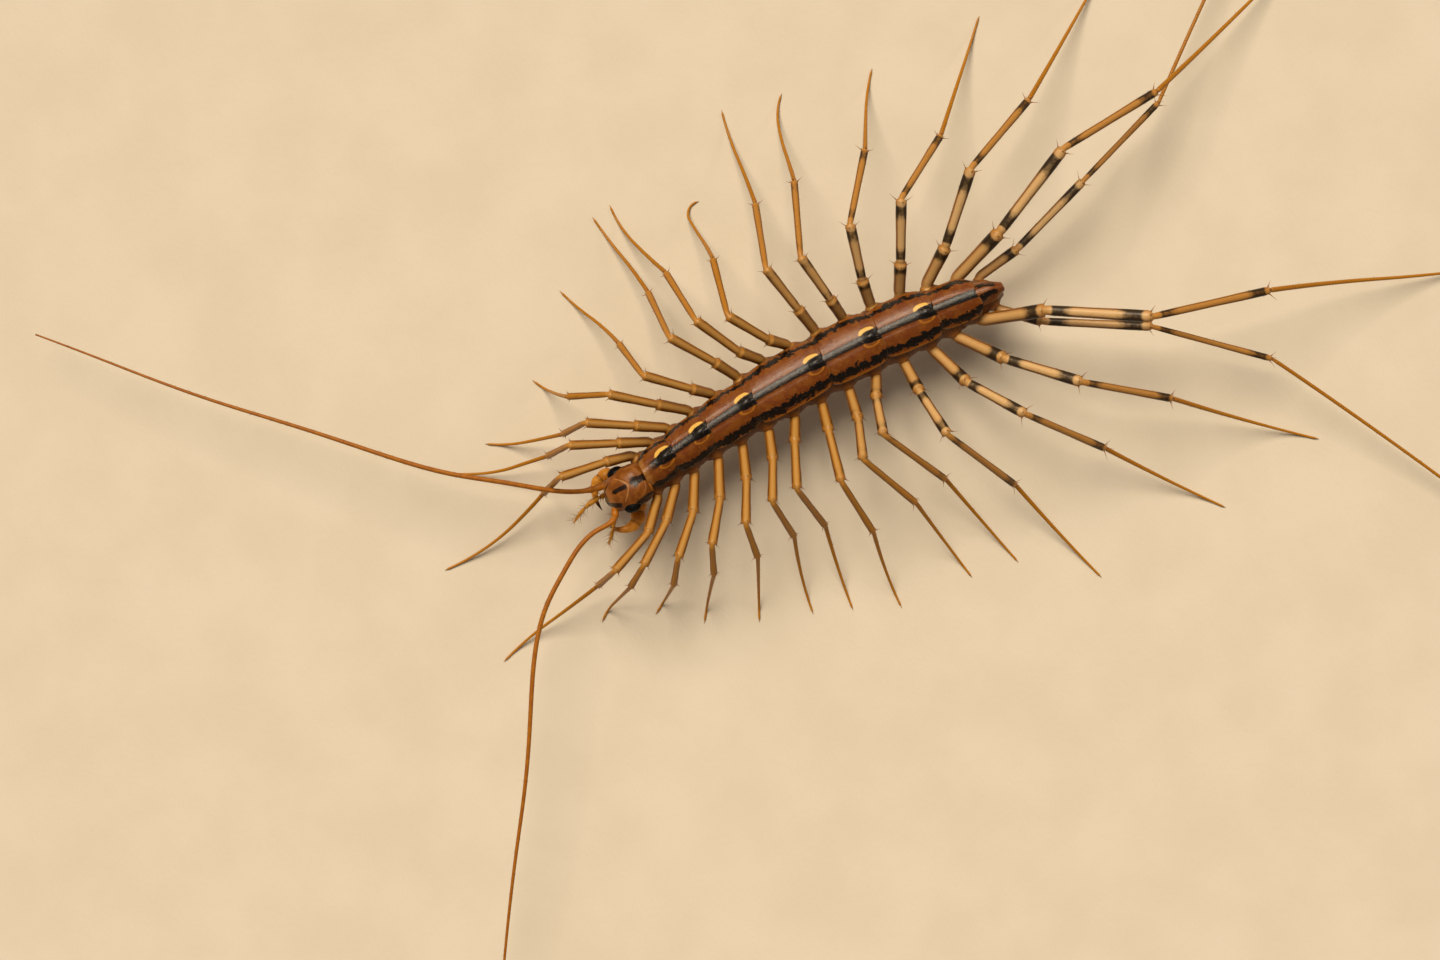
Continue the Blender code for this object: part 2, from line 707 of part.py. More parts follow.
def centre_on_footprint():
    """Moves every mesh alike, so that the origin is the middle of the whole outline."""
    corners = [vert.co for item in parts.objects for vert in item.data.vertices]
    low = [min(corner[i] for corner in corners) for i in range(3)]
    high = [max(corner[i] for corner in corners) for i in range(3)]
    shift = Vector((-(low[0] + high[0]) / 2, -(low[1] + high[1]) / 2, -low[2]))
    for item in parts.objects:
        for vert in item.data.vertices:
            vert.co += shift
        item.data.shade_smooth()
        item.data.set_sharp_from_angle(angle=SHARP_EDGE)


clear_scene()
parts = new_collection("house_centipede")
dice = random.Random(15)
shell = new_material("shell")
head_brown = new_material("head")
eye_black = new_material("eye")
claw_amber = new_material("venom_claw")
palp_amber = new_material("palp")
antenna_brown = new_material("antenna")
leg_amber = new_material("leg")

for plate_name, plate_front, plate_rear, plate_half in plate_spans():
    trunk_segment(plate_name, plate_front, plate_rear, plate_half)
build_head()
build_eyes()
build_mouthparts()
build_antennae()
for leg_side in ("left", "right"):
    for leg_pair in range(1, 16):
        build_leg(leg_side, leg_pair)
centre_on_footprint()
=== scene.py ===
"""House centipede, the visible surfaces of the life-size display model.

Every piece is made in millimetres on the same skeleton as the solids, in a frame of its own,
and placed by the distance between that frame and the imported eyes. The head points to -Y,
the animal's left side to +X.
"""

import json
import math
import random

import bpy
import numpy as np
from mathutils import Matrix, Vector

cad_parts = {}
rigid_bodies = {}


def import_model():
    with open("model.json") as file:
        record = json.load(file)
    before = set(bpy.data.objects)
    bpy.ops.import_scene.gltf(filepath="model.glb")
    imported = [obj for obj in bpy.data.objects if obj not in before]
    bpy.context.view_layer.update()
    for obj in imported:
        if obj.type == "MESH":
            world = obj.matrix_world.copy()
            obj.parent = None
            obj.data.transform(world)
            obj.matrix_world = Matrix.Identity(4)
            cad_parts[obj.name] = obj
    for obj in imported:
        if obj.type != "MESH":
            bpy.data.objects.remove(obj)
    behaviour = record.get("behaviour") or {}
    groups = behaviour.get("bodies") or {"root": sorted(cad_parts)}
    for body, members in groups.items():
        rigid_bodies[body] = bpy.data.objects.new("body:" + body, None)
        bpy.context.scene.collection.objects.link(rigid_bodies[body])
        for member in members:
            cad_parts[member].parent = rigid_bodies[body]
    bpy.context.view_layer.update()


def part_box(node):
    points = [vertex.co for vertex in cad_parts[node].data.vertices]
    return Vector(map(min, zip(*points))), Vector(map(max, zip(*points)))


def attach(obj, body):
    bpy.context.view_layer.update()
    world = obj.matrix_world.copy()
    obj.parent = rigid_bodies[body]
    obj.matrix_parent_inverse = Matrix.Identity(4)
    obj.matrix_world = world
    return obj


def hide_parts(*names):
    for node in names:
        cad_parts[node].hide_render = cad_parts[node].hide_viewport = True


for item in list(bpy.data.objects):
    bpy.data.objects.remove(item, do_unlink=True)
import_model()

MM = 0.001
UP = np.array((0.0, 0.0, 1.0))
dice = random.Random(33)

# Body: lengths along Y from the front of the head, widths across the back plates.
HEAD_FRONT_Y = -15.5
HEAD_LENGTH = 3.1
PLATES = (
    ("trunk_1", 2.4, 2.7),
    ("trunk_2", 2.8, 3.0),
    ("trunk_3", 3.6, 3.4),
    ("trunk_4", 5.3, 3.9),
    ("trunk_5", 4.1, 4.0),
    ("trunk_6", 4.0, 3.8),
    ("trunk_7", 3.0, 3.1),
    ("telson", 1.8, 1.75),
)
BOW_DEPTH = 1.35
BOW_MIDDLE_Y = 0.7
HALF_BODY = 15.0
LEAN = math.radians(8)
TRUNK_Z = 4.6
CORE_SHARE = 0.62
PLATE_EDGE_Z = 5.25
PLATE_CROWN = 0.95
PLATE_ARCH = 2.2

# Legs: one value for each named pair, the pairs between are interpolated.
HIP_Y = {1: -12.3, 3: -9.4, 5: -5.7, 8: 0.3, 12: 8.5, 13: 10.3, 14: 12.2, 15: 13.6}
HIP_Z = {1: 4.1, 13: 4.1, 14: 4.3, 15: 3.9}
HIP_SHIFT = {"left": 0.0, "right": -0.2}
HIP_GAP = 0.3
TROCHANTER_OUT = 0.25
TROCHANTER_RISE = 0.1
KNEE_BASE_Z = {1: 5.9, 13: 6.2, 14: 6.5, 15: 4.6}
KNEE_Z = {1: 7.4, 3: 7.8, 8: 8.2, 13: 8.4, 14: 8.1, 15: 5.4}
ANKLE_Z_RANGE = (2.6, 5.4)
ANKLE_Z_REAR = {14: 6.0, 15: 3.3}
TARSUS_LENGTH = {1: 9.0, 3: 6.6, 5: 7.0, 8: 7.2, 11: 9.0, 12: 10.0, 13: 12.0}
REACH = {
    "left": {
        "prefemur": {
            1: 2.6, 4: 2.9, 6: 2.1, 7: 1.8, 9: 2.2, 10: 1.6,
            11: 2.3, 12: 3.3, 13: 3.6, 14: 4.3, 15: 3.2,
        },
        "femur": {
            1: 3.4, 6: 2.8, 8: 3.5, 9: 2.7, 10: 2.5, 11: 3.4, 12: 4.3, 13: 5.2, 14: 7.0, 15: 7.3,
        },
        "tibia": {1: 1.6, 4: 2.0, 7: 3.2, 8: 4.1, 11: 6.0, 13: 6.5, 14: 8.3, 15: 8.6},
    },
    "right": {
        "prefemur": {
            1: 2.0, 2: 2.3, 4: 2.3, 5: 1.5, 6: 1.8, 7: 1.7, 8: 1.4, 9: 1.8,
            10: 1.4, 12: 2.0, 13: 2.8, 14: 4.2, 15: 3.3,
        },
        "femur": {
            1: 3.1, 5: 3.3, 7: 3.5, 8: 3.1, 9: 3.4, 10: 3.4,
            11: 3.7, 12: 4.1, 13: 5.3, 14: 6.8, 15: 6.3,
        },
        "tibia": {
            1: 1.7, 3: 1.8, 4: 2.8, 5: 2.8, 6: 3.6, 7: 4.0, 8: 4.1, 9: 4.7,
            10: 5.3, 12: 5.4, 13: 6.5, 14: 7.6, 15: 7.6,
        },
    },
}
# Headings in degrees, from straight out sideways, + toward the tail: prefemur, femur,
# tibia, then the tarsus at equal steps, and last how far the tarsus reaches.
POSE = {
    "left": (
        (-43, -69, -77, (-80, -82, -72), 8.4),
        (-42, -55, -60, (-73, -73, -49), 3.3),
        (-30, -46, -38, (-57, -61), 2.5),
        (-26, -38, -24, (-42, -36), 3.5),
        (-22, -29, -8, (-25, -27), 4.5),
        (-21, -29, 5, (-19, -8), 5.5),
        (-30, -26, 11, (-11, -7), 6.1),
        (-16, -15, 6, (-10, -2), 5.6),
        (-13, -23, 24, (11, 10), 6.5),
        (-31, -19, 28, (15, 14), 7.6),
        (-3, 3, 28, (15, 17), 8.7),
        (16, 32, 41, (36, 38), 9.4),
        (35, 44, 53, (47, 49), 10.9),
        (70, 58, 75, (71, 67, 70), 16.0),
        (46, 59, 48, (29, 26, 27), 34.0),
    ),
    "right": (
        (-77, -81, -102, (-110, -106, -95, -85), 8.7),
        (-65, -65, -85, (-79, -80, -66, -58), 7.2),
        (-59, -59, -85, (-74, -72, -56), 5.5),
        (-52, -51, -64, (-50, -23), 2.9),
        (-50, -47, -9, (-13, -25, -17), 5.6),
        (-31, -34, 3, (-5, -11, -6), 6.5),
        (-44, -27, -3, (-20, -15, 6), 6.2),
        (-50, -33, 14, (5, -4, 0, 109), 5.0),
        (-13, -12, 20, (10, 6, 14), 7.0),
        (-10, -9, 24, (15, 12, 20, 49), 6.5),
        (6, 14, 40, (32, 32, 42), 6.0),
        (28, 27, 60, (47, 47, 45), 9.0),
        (54, 45, 68, (59, 57), 11.2),
        (71, 65, 86, (75, 72), 16.5),
        (82, 72, 72, (52, 54, 50), 34.0),
    ),
}
TARSUS_SAG = 1.5
TIP_FLAT = 0.7


def keyed(keys, at):
    places = sorted(keys)
    return np.interp(at, places, [keys[place] for place in places])


def eased(keys, at):
    """A smooth curve through the keyed values."""
    places = np.array(sorted(keys), float)
    values = np.array([keys[place] for place in sorted(keys)], float)
    slopes = np.gradient(values, places)
    at = np.clip(at, places[0], places[-1])
    low = np.clip(np.searchsorted(places, at, side="right") - 1, 0, len(places) - 2)
    span = places[low + 1] - places[low]
    t = (at - places[low]) / span
    rise = (2 * t**3 - 3 * t**2 + 1) * values[low] + (-2 * t**3 + 3 * t**2) * values[low + 1]
    return rise + span * ((t**3 - 2 * t**2 + t) * slopes[low] + (t**3 - t**2) * slopes[low + 1])


def bump_at(distance, width):
    return np.exp(-((distance / width) ** 2))


def side_sign(side):
    return 1.0 if side == "left" else -1.0


def middle_x(y):
    """The body bows a little, its middle toward the right side."""
    return BOW_DEPTH * ((y - BOW_MIDDLE_Y) / HALF_BODY) ** 2


def plate_spans():
    """Name, front Y, rear Y and half width of each back plate."""
    y = HEAD_FRONT_Y + HEAD_LENGTH
    for name, length, width in PLATES:
        yield name, y, y + length, width / 2
        y += length


def body_half_width(y):
    return keyed({(front + rear) / 2: half for _, front, rear, half in plate_spans()}, y)


def heading_step(side, degrees, reach):
    angle = math.radians(degrees)
    return np.array((side_sign(side) * math.cos(angle) * reach, math.sin(angle) * reach, 0.0))


def leant(points, middle):
    """The body leans over a little to its right, round a line along its middle."""
    points = np.array(points, float)
    out = points[..., 0] - middle
    up = points[..., 2] - TRUNK_Z
    points[..., 0] = middle + out * math.cos(LEAN) - up * math.sin(LEAN)
    points[..., 2] = TRUNK_Z + up * math.cos(LEAN) + out * math.sin(LEAN)
    return points


def mouth_place(sign, place):
    """A named place on one side of the head, its Y counted from the head's front."""
    lateral, behind_front, z = place
    return np.array((HEAD_MIDDLE + sign * lateral, HEAD_FRONT_Y + behind_front, z))


def head_place(sign, place):
    """The same on the head itself, which leans with the body."""
    return leant(mouth_place(sign, place), HEAD_MIDDLE)


def unit(vectors):
    return vectors / np.linalg.norm(vectors, axis=-1, keepdims=True)


# The head lies straight, so its middle line has one X.
HEAD_MIDDLE = middle_x(HEAD_FRONT_Y + HEAD_LENGTH / 2)

# The solids stand round the middle of their outline: the eyes give the way from here to there.
EYE_PLACE = (1.24, 1.35, 5.15)
EYE_AXES = (0.34, 0.46, 0.36)
eye_middles = [(low + high) / 2 for low, high in (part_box("eye_left"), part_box("eye_right"))]
SHIFT = np.array((eye_middles[0] + eye_middles[1]) / 2) / MM - head_place(0.0, EYE_PLACE)


def placed(points):
    return (np.asarray(points, float) + SHIFT) * MM


def linear(part):
    return part / 12.92 if part <= 0.04045 else ((part + 0.055) / 1.055) ** 2.4


def colour(code):
    return (*[linear(int(code[i : i + 2], 16) / 255) for i in (0, 2, 4)], 1.0)


class Wire:
    """A node's output that sums, products and the like can be written with."""

    def __init__(self, tree, socket):
        self.tree = tree
        self.socket = socket

    def __add__(self, other):
        return maths(self.tree, "ADD", self, other)

    def __radd__(self, other):
        return maths(self.tree, "ADD", other, self)

    def __sub__(self, other):
        return maths(self.tree, "SUBTRACT", self, other)

    def __rsub__(self, other):
        return maths(self.tree, "SUBTRACT", other, self)

    def __mul__(self, other):
        return maths(self.tree, "MULTIPLY", self, other)

    def __truediv__(self, other):
        return maths(self.tree, "DIVIDE", self, other)

    def __abs__(self):
        return maths(self.tree, "ABSOLUTE", self)

    def at_least(self, other):
        return maths(self.tree, "MAXIMUM", self, other)


def add(tree, kind, inputs=None, out=0, **settings):
    """Adds a node: its settings, then its inputs as values or links, and gives one of its outputs."""
    made = tree.nodes.new(kind)
    for name, value in settings.items():
        setattr(made, name, value)
    for name, value in (inputs or {}).items():
        if isinstance(value, Wire):
            tree.links.new(value.socket, made.inputs[name])
        else:
            made.inputs[name].default_value = value
    return Wire(tree, made.outputs[out])


def maths(tree, operation, *values):
    return add(tree, "ShaderNodeMath", dict(enumerate(values)), operation=operation)


def layered(base, *layers):
    """Colours laid over a base, each through its mask."""
    base = colour(base)
    for mask, code in layers:
        over = {0: mask, 6: base, 7: colour(code)}
        base = add(mask.tree, "ShaderNodeMix", over, 2, data_type="RGBA")
    return base


def masked(value, start, end):
    """A soft step from 0 to 1 as the value goes from start to end."""
    sockets = {"Value": value, "From Min": start, "From Max": end}
    return add(value.tree, "ShaderNodeMapRange", sockets, interpolation_type="SMOOTHSTEP")


SCATTER_RADIUS = (1.0, 0.55, 0.25)
SCATTER_DEPTH = 0.4
COAT_ROUGHNESS = 0.25
CUTICLE_IOR = 1.56


def new_material(name, subsurface, coat=0.0, specular=0.35):
    made = bpy.data.materials.new(name)
    made.use_nodes = True
    tree = made.node_tree
    shader = tree.nodes["Principled BSDF"]
    for socket, value in (
        ("IOR", CUTICLE_IOR),
        ("Specular IOR Level", specular),
        ("Subsurface Weight", subsurface),
        ("Subsurface Radius", SCATTER_RADIUS),
        ("Subsurface Scale", SCATTER_DEPTH * MM),
        ("Coat Weight", coat),
        ("Coat Roughness", COAT_ROUGHNESS),
    ):
        shader.inputs[socket].default_value = value
    return made, tree, shader


def grain(tree, size_mm, detail=3.0, distortion=0.0):
    """Noise whose grains are about that many millimetres."""
    place = add(tree, "ShaderNodeTexCoord", out="Object")
    scale = 1 / (size_mm * MM)
    sockets = {"Vector": place, "Scale": scale, "Detail": detail, "Distortion": distortion}
    return add(tree, "ShaderNodeTexNoise", sockets)


def uneven(tree, size_mm, strength):
    """Noise round zero, to tear the edge of a mark."""
    return (grain(tree, size_mm, 4.0, 0.5) - 0.5) * strength


def finish_shader(shader, base, rough_low, rough_high, relief_mm, *heights):
    """Colour, uneven gloss and a bump summed from two heights."""
    tree = base.tree
    tree.links.new(base.socket, shader.inputs["Base Color"])
    sockets = {"Value": grain(tree, 0.35), "To Min": rough_low, "To Max": rough_high}
    tree.links.new(add(tree, "ShaderNodeMapRange", sockets).socket, shader.inputs["Roughness"])
    sockets = {"Distance": relief_mm * MM, "Strength": 0.6, "Height": heights[0] + heights[1]}
    tree.links.new(add(tree, "ShaderNodeBump", sockets).socket, shader.inputs["Normal"])


def named(tree, *names):
    """The mesh's own values of those names."""
    wires = [add(tree, "ShaderNodeAttribute", out="Fac", attribute_name=name) for name in names]
    return wires if len(wires) > 1 else wires[0]


def plate_chitin():
    """Tanned back plates: hard, waxy chitin, brown with sooty stripes and pale yellow saddles."""
    made, tree, shader = new_material("plate_chitin", 0.0, 0.0, 0.34)
    lateral, rear, front, edge = named(tree, "lateral", "rear", "front", "edge")
    inset, saddled, striped = named(tree, "inset", "saddled", "striped")
    ragged = uneven(tree, 0.2, 0.38)
    lumpy = uneven(tree, 0.42, 0.85)
    off_middle = abs(lateral)
    # The median stripe widens a little along the plate, ends in a blunt knob, and is worn in front.
    reach = 0.26 + masked(rear, 3.0, 1.0) * 0.05 + masked(rear, 1.3, 0.75) * saddled * 0.13
    median = masked(off_middle + ragged * 0.25 - reach, 0.04, -0.04) * striped
    median = median * masked(front + lumpy, 0.35, 1.1)
    worn = median * masked(rear, 1.1, 2.6) * masked(grain(tree, 0.22, 3.0), 0.42, 0.62) * 0.6
    # Side stripes run inside a pale margin, their edges torn and lumpy, the left one wider.
    comb = edge + ragged + lumpy + inset
    inner = comb - masked(lateral, -0.2, 0.2) * 0.14
    tail_end = striped.at_least(masked(rear, 0.35, 0.6))
    side = masked(comb, 0.2, 0.26) * masked(inner, 0.62, 0.54) * tail_end
    # Yellow saddles beside the knob, the right one bright, the left one a duller crescent of painted
    # shade.
    along = (rear - 0.76) / 0.6
    across = (off_middle - 0.4) / 0.31
    oval = along * along + across * across + ragged * 1.2
    saddle = masked(oval, 1.15, 0.7) * saddled
    painted_shade_saddle = saddle * masked(lateral, -0.1, 0.1) * masked(oval, 0.3, 0.75) * 0.8
    bright = saddle * masked(lateral, 0.1, -0.1)
    rim = masked(edge + ragged * 0.3, 0.2, 0.1)
    outline = masked(edge, 0.045, 0.02)
    mottled = masked(grain(tree, 0.6, 5.0), 0.4, 0.62)
    # Pale flecks: partly pale dots of the cuticle, partly painted glints.
    fleck_and_painted_glint = masked(grain(tree, 0.08, 2.0), 0.69, 0.74) * 0.6
    # The rear lip is painted a lighter brown than the plate: painted light over the shade in the seam
    # between plates.
    painted_light_lip = masked(rear, 0.12, 0.02)
    collar = masked(front + ragged, 0.5, 0.2)
    base = layered(
        "693207", (mottled, "76400C"), (collar, "8C5A26"), (rim, "80490C"), (outline, "301604"),
        (painted_light_lip, "744416"), (painted_shade_saddle, "AE6E1A"), (bright, "DCAC50"), (side, "0A0402"),
        (median, "080301"), (worn, "382414"), (fleck_and_painted_glint, "C8A078"),
    )
    heights = (grain(tree, 0.07, 3.0), grain(tree, 0.25, 2.0))
    finish_shader(shader, base, 0.22, 0.4, 0.032, *heights)
    return made


def head_chitin():
    """Head capsule: smooth chitin with pale sutures and patchy sooty marks."""
    made, tree, shader = new_material("head_chitin", 0.0, 0.0, 0.25)
    ragged = uneven(tree, 0.2, 0.4)
    marked, seam, pale = named(tree, "soot", "seam", "pale")
    soot = masked(marked + uneven(tree, 0.28, 1.1), 0.3, 0.6) * masked(marked, 0.03, 0.15)
    soot = soot * masked(grain(tree, 0.14, 3.0), 0.4, 0.6).at_least(0.94)
    seam = masked(seam + ragged, 0.2, 0.9) * 0.55
    mottled = masked(grain(tree, 0.5, 4.0), 0.4, 0.65)
    base = layered(
        "703C0C", (mottled, "844C16"), (masked(pale, 0.2, 0.8), "A0621E"),
        (seam, "B88448"), (soot, "0E0603"),
    )
    finish_shader(shader, base, 0.3, 0.44, 0.025, grain(tree, 0.12, 3.0), grain(tree, 0.5, 2.0))
    return made


def leg_chitin():
    """Leg cuticle: thin, amber and half clear, dark along its keels and in bands, with painted shade
    along its sides and a painted highlight along its top and bottom.
    """
    made, tree, shader = new_material("leg_chitin", 0.25, 0.0, 0.2)
    tone, above, crest, keel = named(tree, "tone", "above", "crest", "keel")
    banded, ring, pale, joint = named(tree, "band", "ring", "pale", "joint")
    ragged = uneven(tree, 0.25, 0.5)
    # Bands are deepest along the keels and thin out between them.
    streak = (crest - 0.35) * banded * 0.55
    band = masked(banded + ragged + streak, 0.3, 0.95) * masked(banded, 0.02, 0.2) * 0.94
    line = masked(crest, 0.35, 0.95) * keel * 0.75
    # Painted shade darkens the sides of each piece, and on the paler pieces a painted highlight
    # lightens its top and bottom, for light seen through the half-clear cuticle.
    flank = masked(above, 0.5, 0.1) * 0.6
    middle = masked(above, 0.78, 1.0) * masked(tone, 0.7, 0.5) * 0.6
    # Between the bands of the rear legs the cuticle is paler.
    pale = pale * masked(above, 0.35, 0.9) * 0.6
    base = layered(
        "945E1A", (masked(tone, 0.1, 0.5), "9E6822"), (masked(tone, 0.5, 0.75), "A0670C"),
        (masked(tone, 0.75, 1.0), "AA700E"), (flank, "70400A"), (middle, "C09452"), (pale, "D6B484"),
        (line, "42210A"), (joint, "B07C38"), (band, "120905"), (ring * 0.42, "55300C"),
    )
    finish_shader(shader, base, 0.3, 0.45, 0.015, grain(tree, 0.1, 3.0), grain(tree, 0.4, 2.0))
    return made


def plain_chitin(name, low, high, tip, rough, subsurface):
    """One cuticle colour drifting between two tones, darker toward a tip or in the ring grooves."""
    made, tree, shader = new_material(name, subsurface, 0.06, 0.18)
    ring, band = named(tree, "ring", "band")
    mottled = masked(grain(tree, 0.5, 3.0), 0.35, 0.65)
    base = layered(low, (mottled, high), (ring * 0.5, tip), (masked(band, 0.1, 0.9), tip))
    finish_shader(shader, base, rough, rough + 0.15, 0.015, grain(tree, 0.12, 3.0), grain(tree, 0.4))
    return made


def pleura_skin():
    """Soft leathery membrane between the plates and the leg roots, finely wrinkled."""
    made, tree, shader = new_material("pleura_skin", 0.2)
    folds = grain(tree, 0.3, 5.0, 1.2)
    pale = masked(named(tree, "pale"), 0.2, 0.9)
    base = layered("5A2E08", (masked(folds, 0.4, 0.65), "704010"), (pale, "92581A"))
    finish_shader(shader, base, 0.4, 0.6, 0.06, folds, grain(tree, 0.1, 3.0))
    return made


def eye_glass():
    """Lenses of the compound eye: black, hard and glossy."""
    made, tree, shader = new_material("eye_glass", 0.0, 0.0, 0.15)
    base = layered("020202", (masked(grain(tree, 0.15), 0.5, 0.7), "050406"))
    finish_shader(shader, base, 0.16, 0.24, 0.002, grain(tree, 0.05), grain(tree, 0.2))
    return made


def floor_paper():
    """Matt pale paper, a little warm."""
    made, tree, shader = new_material("floor_paper", 0.0)
    base = layered("D6CAB8", (masked(grain(tree, 6.0, 4.0), 0.3, 0.7), "D1C5B2"))
    finish_shader(shader, base, 0.8, 0.9, 0.02, grain(tree, 0.3), grain(tree, 1.0))
    return made


# What bristles are told, with the values used unless a piece says otherwise.
BRISTLE_SOCKETS = (
    ("Count per square metre", "NodeSocketFloat", 3.0e6),
    ("Length", "NodeSocketFloat", 0.16 * MM),
    ("Thickness", "NodeSocketFloat", 0.012 * MM),
    ("Lean", "NodeSocketFloat", 1.2),
    ("Seed", "NodeSocketInt", 7),
    ("Bristle", "NodeSocketMaterial", None),
)
BRISTLE_STRAY = 0.5
BRISTLE_SHARES = (0.55, 1.15)
BRISTLE_SIDES = 3
SPINE_SIDES = 5
SPINE_BLUNTNESS = 0.12
KEEL_FALL = 3.0
DOME_FLATNESS = 0.35


def new_tree(name, inputs):
    """A geometry tree, and its named inputs as wires."""
    tree = bpy.data.node_groups.new(name, "GeometryNodeTree")
    tree.interface.new_socket("Geometry", in_out="OUTPUT", socket_type="NodeSocketGeometry")
    for label, kind, value in (("Geometry", "NodeSocketGeometry", None), *inputs):
        socket = tree.interface.new_socket(label, in_out="INPUT", socket_type=kind)
        if value is not None:
            socket.default_value = value
    source = tree.nodes.new("NodeGroupInput")
    return tree, {socket.name: Wire(tree, socket) for socket in source.outputs}


def give_out(geometry):
    """Makes that geometry its tree's result."""
    result = geometry.tree.nodes.new("NodeGroupOutput")
    geometry.tree.links.new(geometry.socket, result.inputs[0])
    return geometry.tree


def held(tree, name, kind="FLOAT"):
    """The value that the geometry holds under that name."""
    return add(tree, "GeometryNodeInputNamedAttribute", {"Name": name}, data_type=kind)


def scaled(vector, factor):
    return add(vector.tree, "ShaderNodeVectorMath", {0: vector, "Scale": factor}, operation="SCALE")


def vector_sum(first, second):
    return add(first.tree, "ShaderNodeVectorMath", {0: first, 1: second}, operation="ADD")


def cone(tree, sides, top):
    """A cone of unit height and base radius, its tip cut off at that radius."""
    sockets = {"Vertices": sides, "Radius Top": top, "Radius Bottom": 1.0, "Depth": 1.0}
    return add(tree, "GeometryNodeMeshCone", sockets)


def copies_at(points, shape, way, size):
    """Real copies of a shape at the points, its own Z turned that way."""
    tree = points.tree
    turned = add(tree, "FunctionNodeAlignRotationToVector", {"Vector": way}, axis="Z")
    sockets = {"Points": points, "Instance": shape, "Rotation": turned, "Scale": size}
    copies = add(tree, "GeometryNodeInstanceOnPoints", sockets)
    return add(tree, "GeometryNodeRealizeInstances", {0: copies})


def surfaced(geometry, material):
    sockets = {"Geometry": geometry, "Material": material}
    return add(geometry.tree, "GeometryNodeSetMaterial", sockets)


def smoothed(geometry):
    sockets = {"Geometry": geometry, "Shade Smooth": True}
    return add(geometry.tree, "GeometryNodeSetShadeSmooth", sockets)


def joined(*parts):
    tree = parts[0].tree
    both = tree.nodes.new("GeometryNodeJoinGeometry")
    for part in parts:
        tree.links.new(part.socket, both.inputs[0])
    return Wire(tree, both.outputs[0])


def bristle_tree():
    """Scatters short tapering bristles over a surface, leaning the way of its 'forward' value."""
    tree, inputs = new_tree("bristles", BRISTLE_SOCKETS)
    density = held(tree, "hairy") * inputs["Count per square metre"]
    sockets = {"Mesh": inputs["Geometry"], "Density": density, "Seed": inputs["Seed"]}
    points = add(tree, "GeometryNodeDistributePointsOnFaces", sockets)
    normal = Wire(tree, points.socket.node.outputs["Normal"])
    leaning = scaled(held(tree, "forward", "FLOAT_VECTOR"), inputs["Lean"])
    sockets = {0: (-BRISTLE_STRAY,) * 3, 1: (BRISTLE_STRAY,) * 3, "Seed": inputs["Seed"]}
    stray = add(tree, "FunctionNodeRandomValue", sockets, data_type="FLOAT_VECTOR")
    way = vector_sum(vector_sum(normal, leaning), stray)
    sockets = {2: BRISTLE_SHARES[0], 3: BRISTLE_SHARES[1], "Seed": 3}
    share = add(tree, "FunctionNodeRandomValue", sockets, 1, data_type="FLOAT")
    thickness = inputs["Thickness"]
    sockets = {0: thickness, 1: thickness, 2: inputs["Length"] * share}
    size = add(tree, "ShaderNodeCombineXYZ", sockets)
    grown = copies_at(points, cone(tree, BRISTLE_SIDES, 0.0), way, size)
    return give_out(joined(surfaced(grown, inputs["Bristle"]), inputs["Geometry"]))


def limb_tree(bristles):
    """Sweeps a keeled tube along a path of named radii, and sets spines at its loose points."""
    tree, inputs = new_tree(
        "limb",
        (
            ("Sides", "NodeSocketInt", 20),
            ("Keel place", "NodeSocketFloat", 0.59),
            ("Keel height", "NodeSocketFloat", 0.07),
            ("Skin", "NodeSocketMaterial", None),
            ("Spine", "NodeSocketMaterial", None),
            *BRISTLE_SOCKETS,
        ),
    )
    radius = held(tree, "radius")
    path = add(tree, "GeometryNodeMeshToCurve", {"Mesh": inputs["Geometry"]})
    path = add(tree, "GeometryNodeSetCurveNormal", {"Curve": path}, mode="Z_UP")
    # Round the tube 'above' goes from 0 at its sides to 1 at top and bottom, 'crest' is 1 on a keel.
    sockets = {"Resolution": inputs["Sides"], "Radius": 1.0}
    profile = add(tree, "GeometryNodeCurvePrimitiveCircle", sockets)
    turn = add(tree, "GeometryNodeSplineParameter") * (2 * math.pi)
    above = abs(maths(tree, "SINE", turn))
    crest = (1.0 - abs(above - inputs["Keel place"]) * KEEL_FALL).at_least(0.0)
    for label, value in (("crest", crest), ("above", above)):
        sockets = {"Geometry": profile, "Name": label, "Value": value}
        profile = add(tree, "GeometryNodeStoreNamedAttribute", sockets)
    sockets = {"Curve": path, "Profile Curve": profile, "Scale": radius, "Fill Caps": True}
    tube = add(tree, "GeometryNodeCurveToMesh", sockets)
    height = held(tree, "crest") * held(tree, "keel") * radius * inputs["Keel height"]
    sockets = {"Geometry": tube, "Offset": scaled(add(tree, "GeometryNodeInputNormal"), height)}
    tube = surfaced(add(tree, "GeometryNodeSetPosition", sockets), inputs["Skin"])
    sockets = {label: inputs[label] for label, _, _ in BRISTLE_SOCKETS}
    hairy = add(tree, "GeometryNodeGroup", {"Geometry": tube, **sockets}, node_tree=bristles)
    size = held(tree, "spine_size", "FLOAT_VECTOR")
    long = add(tree, "ShaderNodeVectorMath", {0: size}, "Value", operation="LENGTH")
    sockets = {0: long, 1: 0.0}
    is_spine = add(
        tree, "FunctionNodeCompare", sockets, data_type="FLOAT", operation="GREATER_THAN"
    )
    sockets = {"Mesh": inputs["Geometry"], "Selection": is_spine}
    roots = add(tree, "GeometryNodeMeshToPoints", sockets)
    way = held(tree, "spine_way", "FLOAT_VECTOR")
    spines = copies_at(roots, cone(tree, SPINE_SIDES, SPINE_BLUNTNESS), way, size)
    return give_out(smoothed(joined(surfaced(spines, inputs["Spine"]), hairy)))


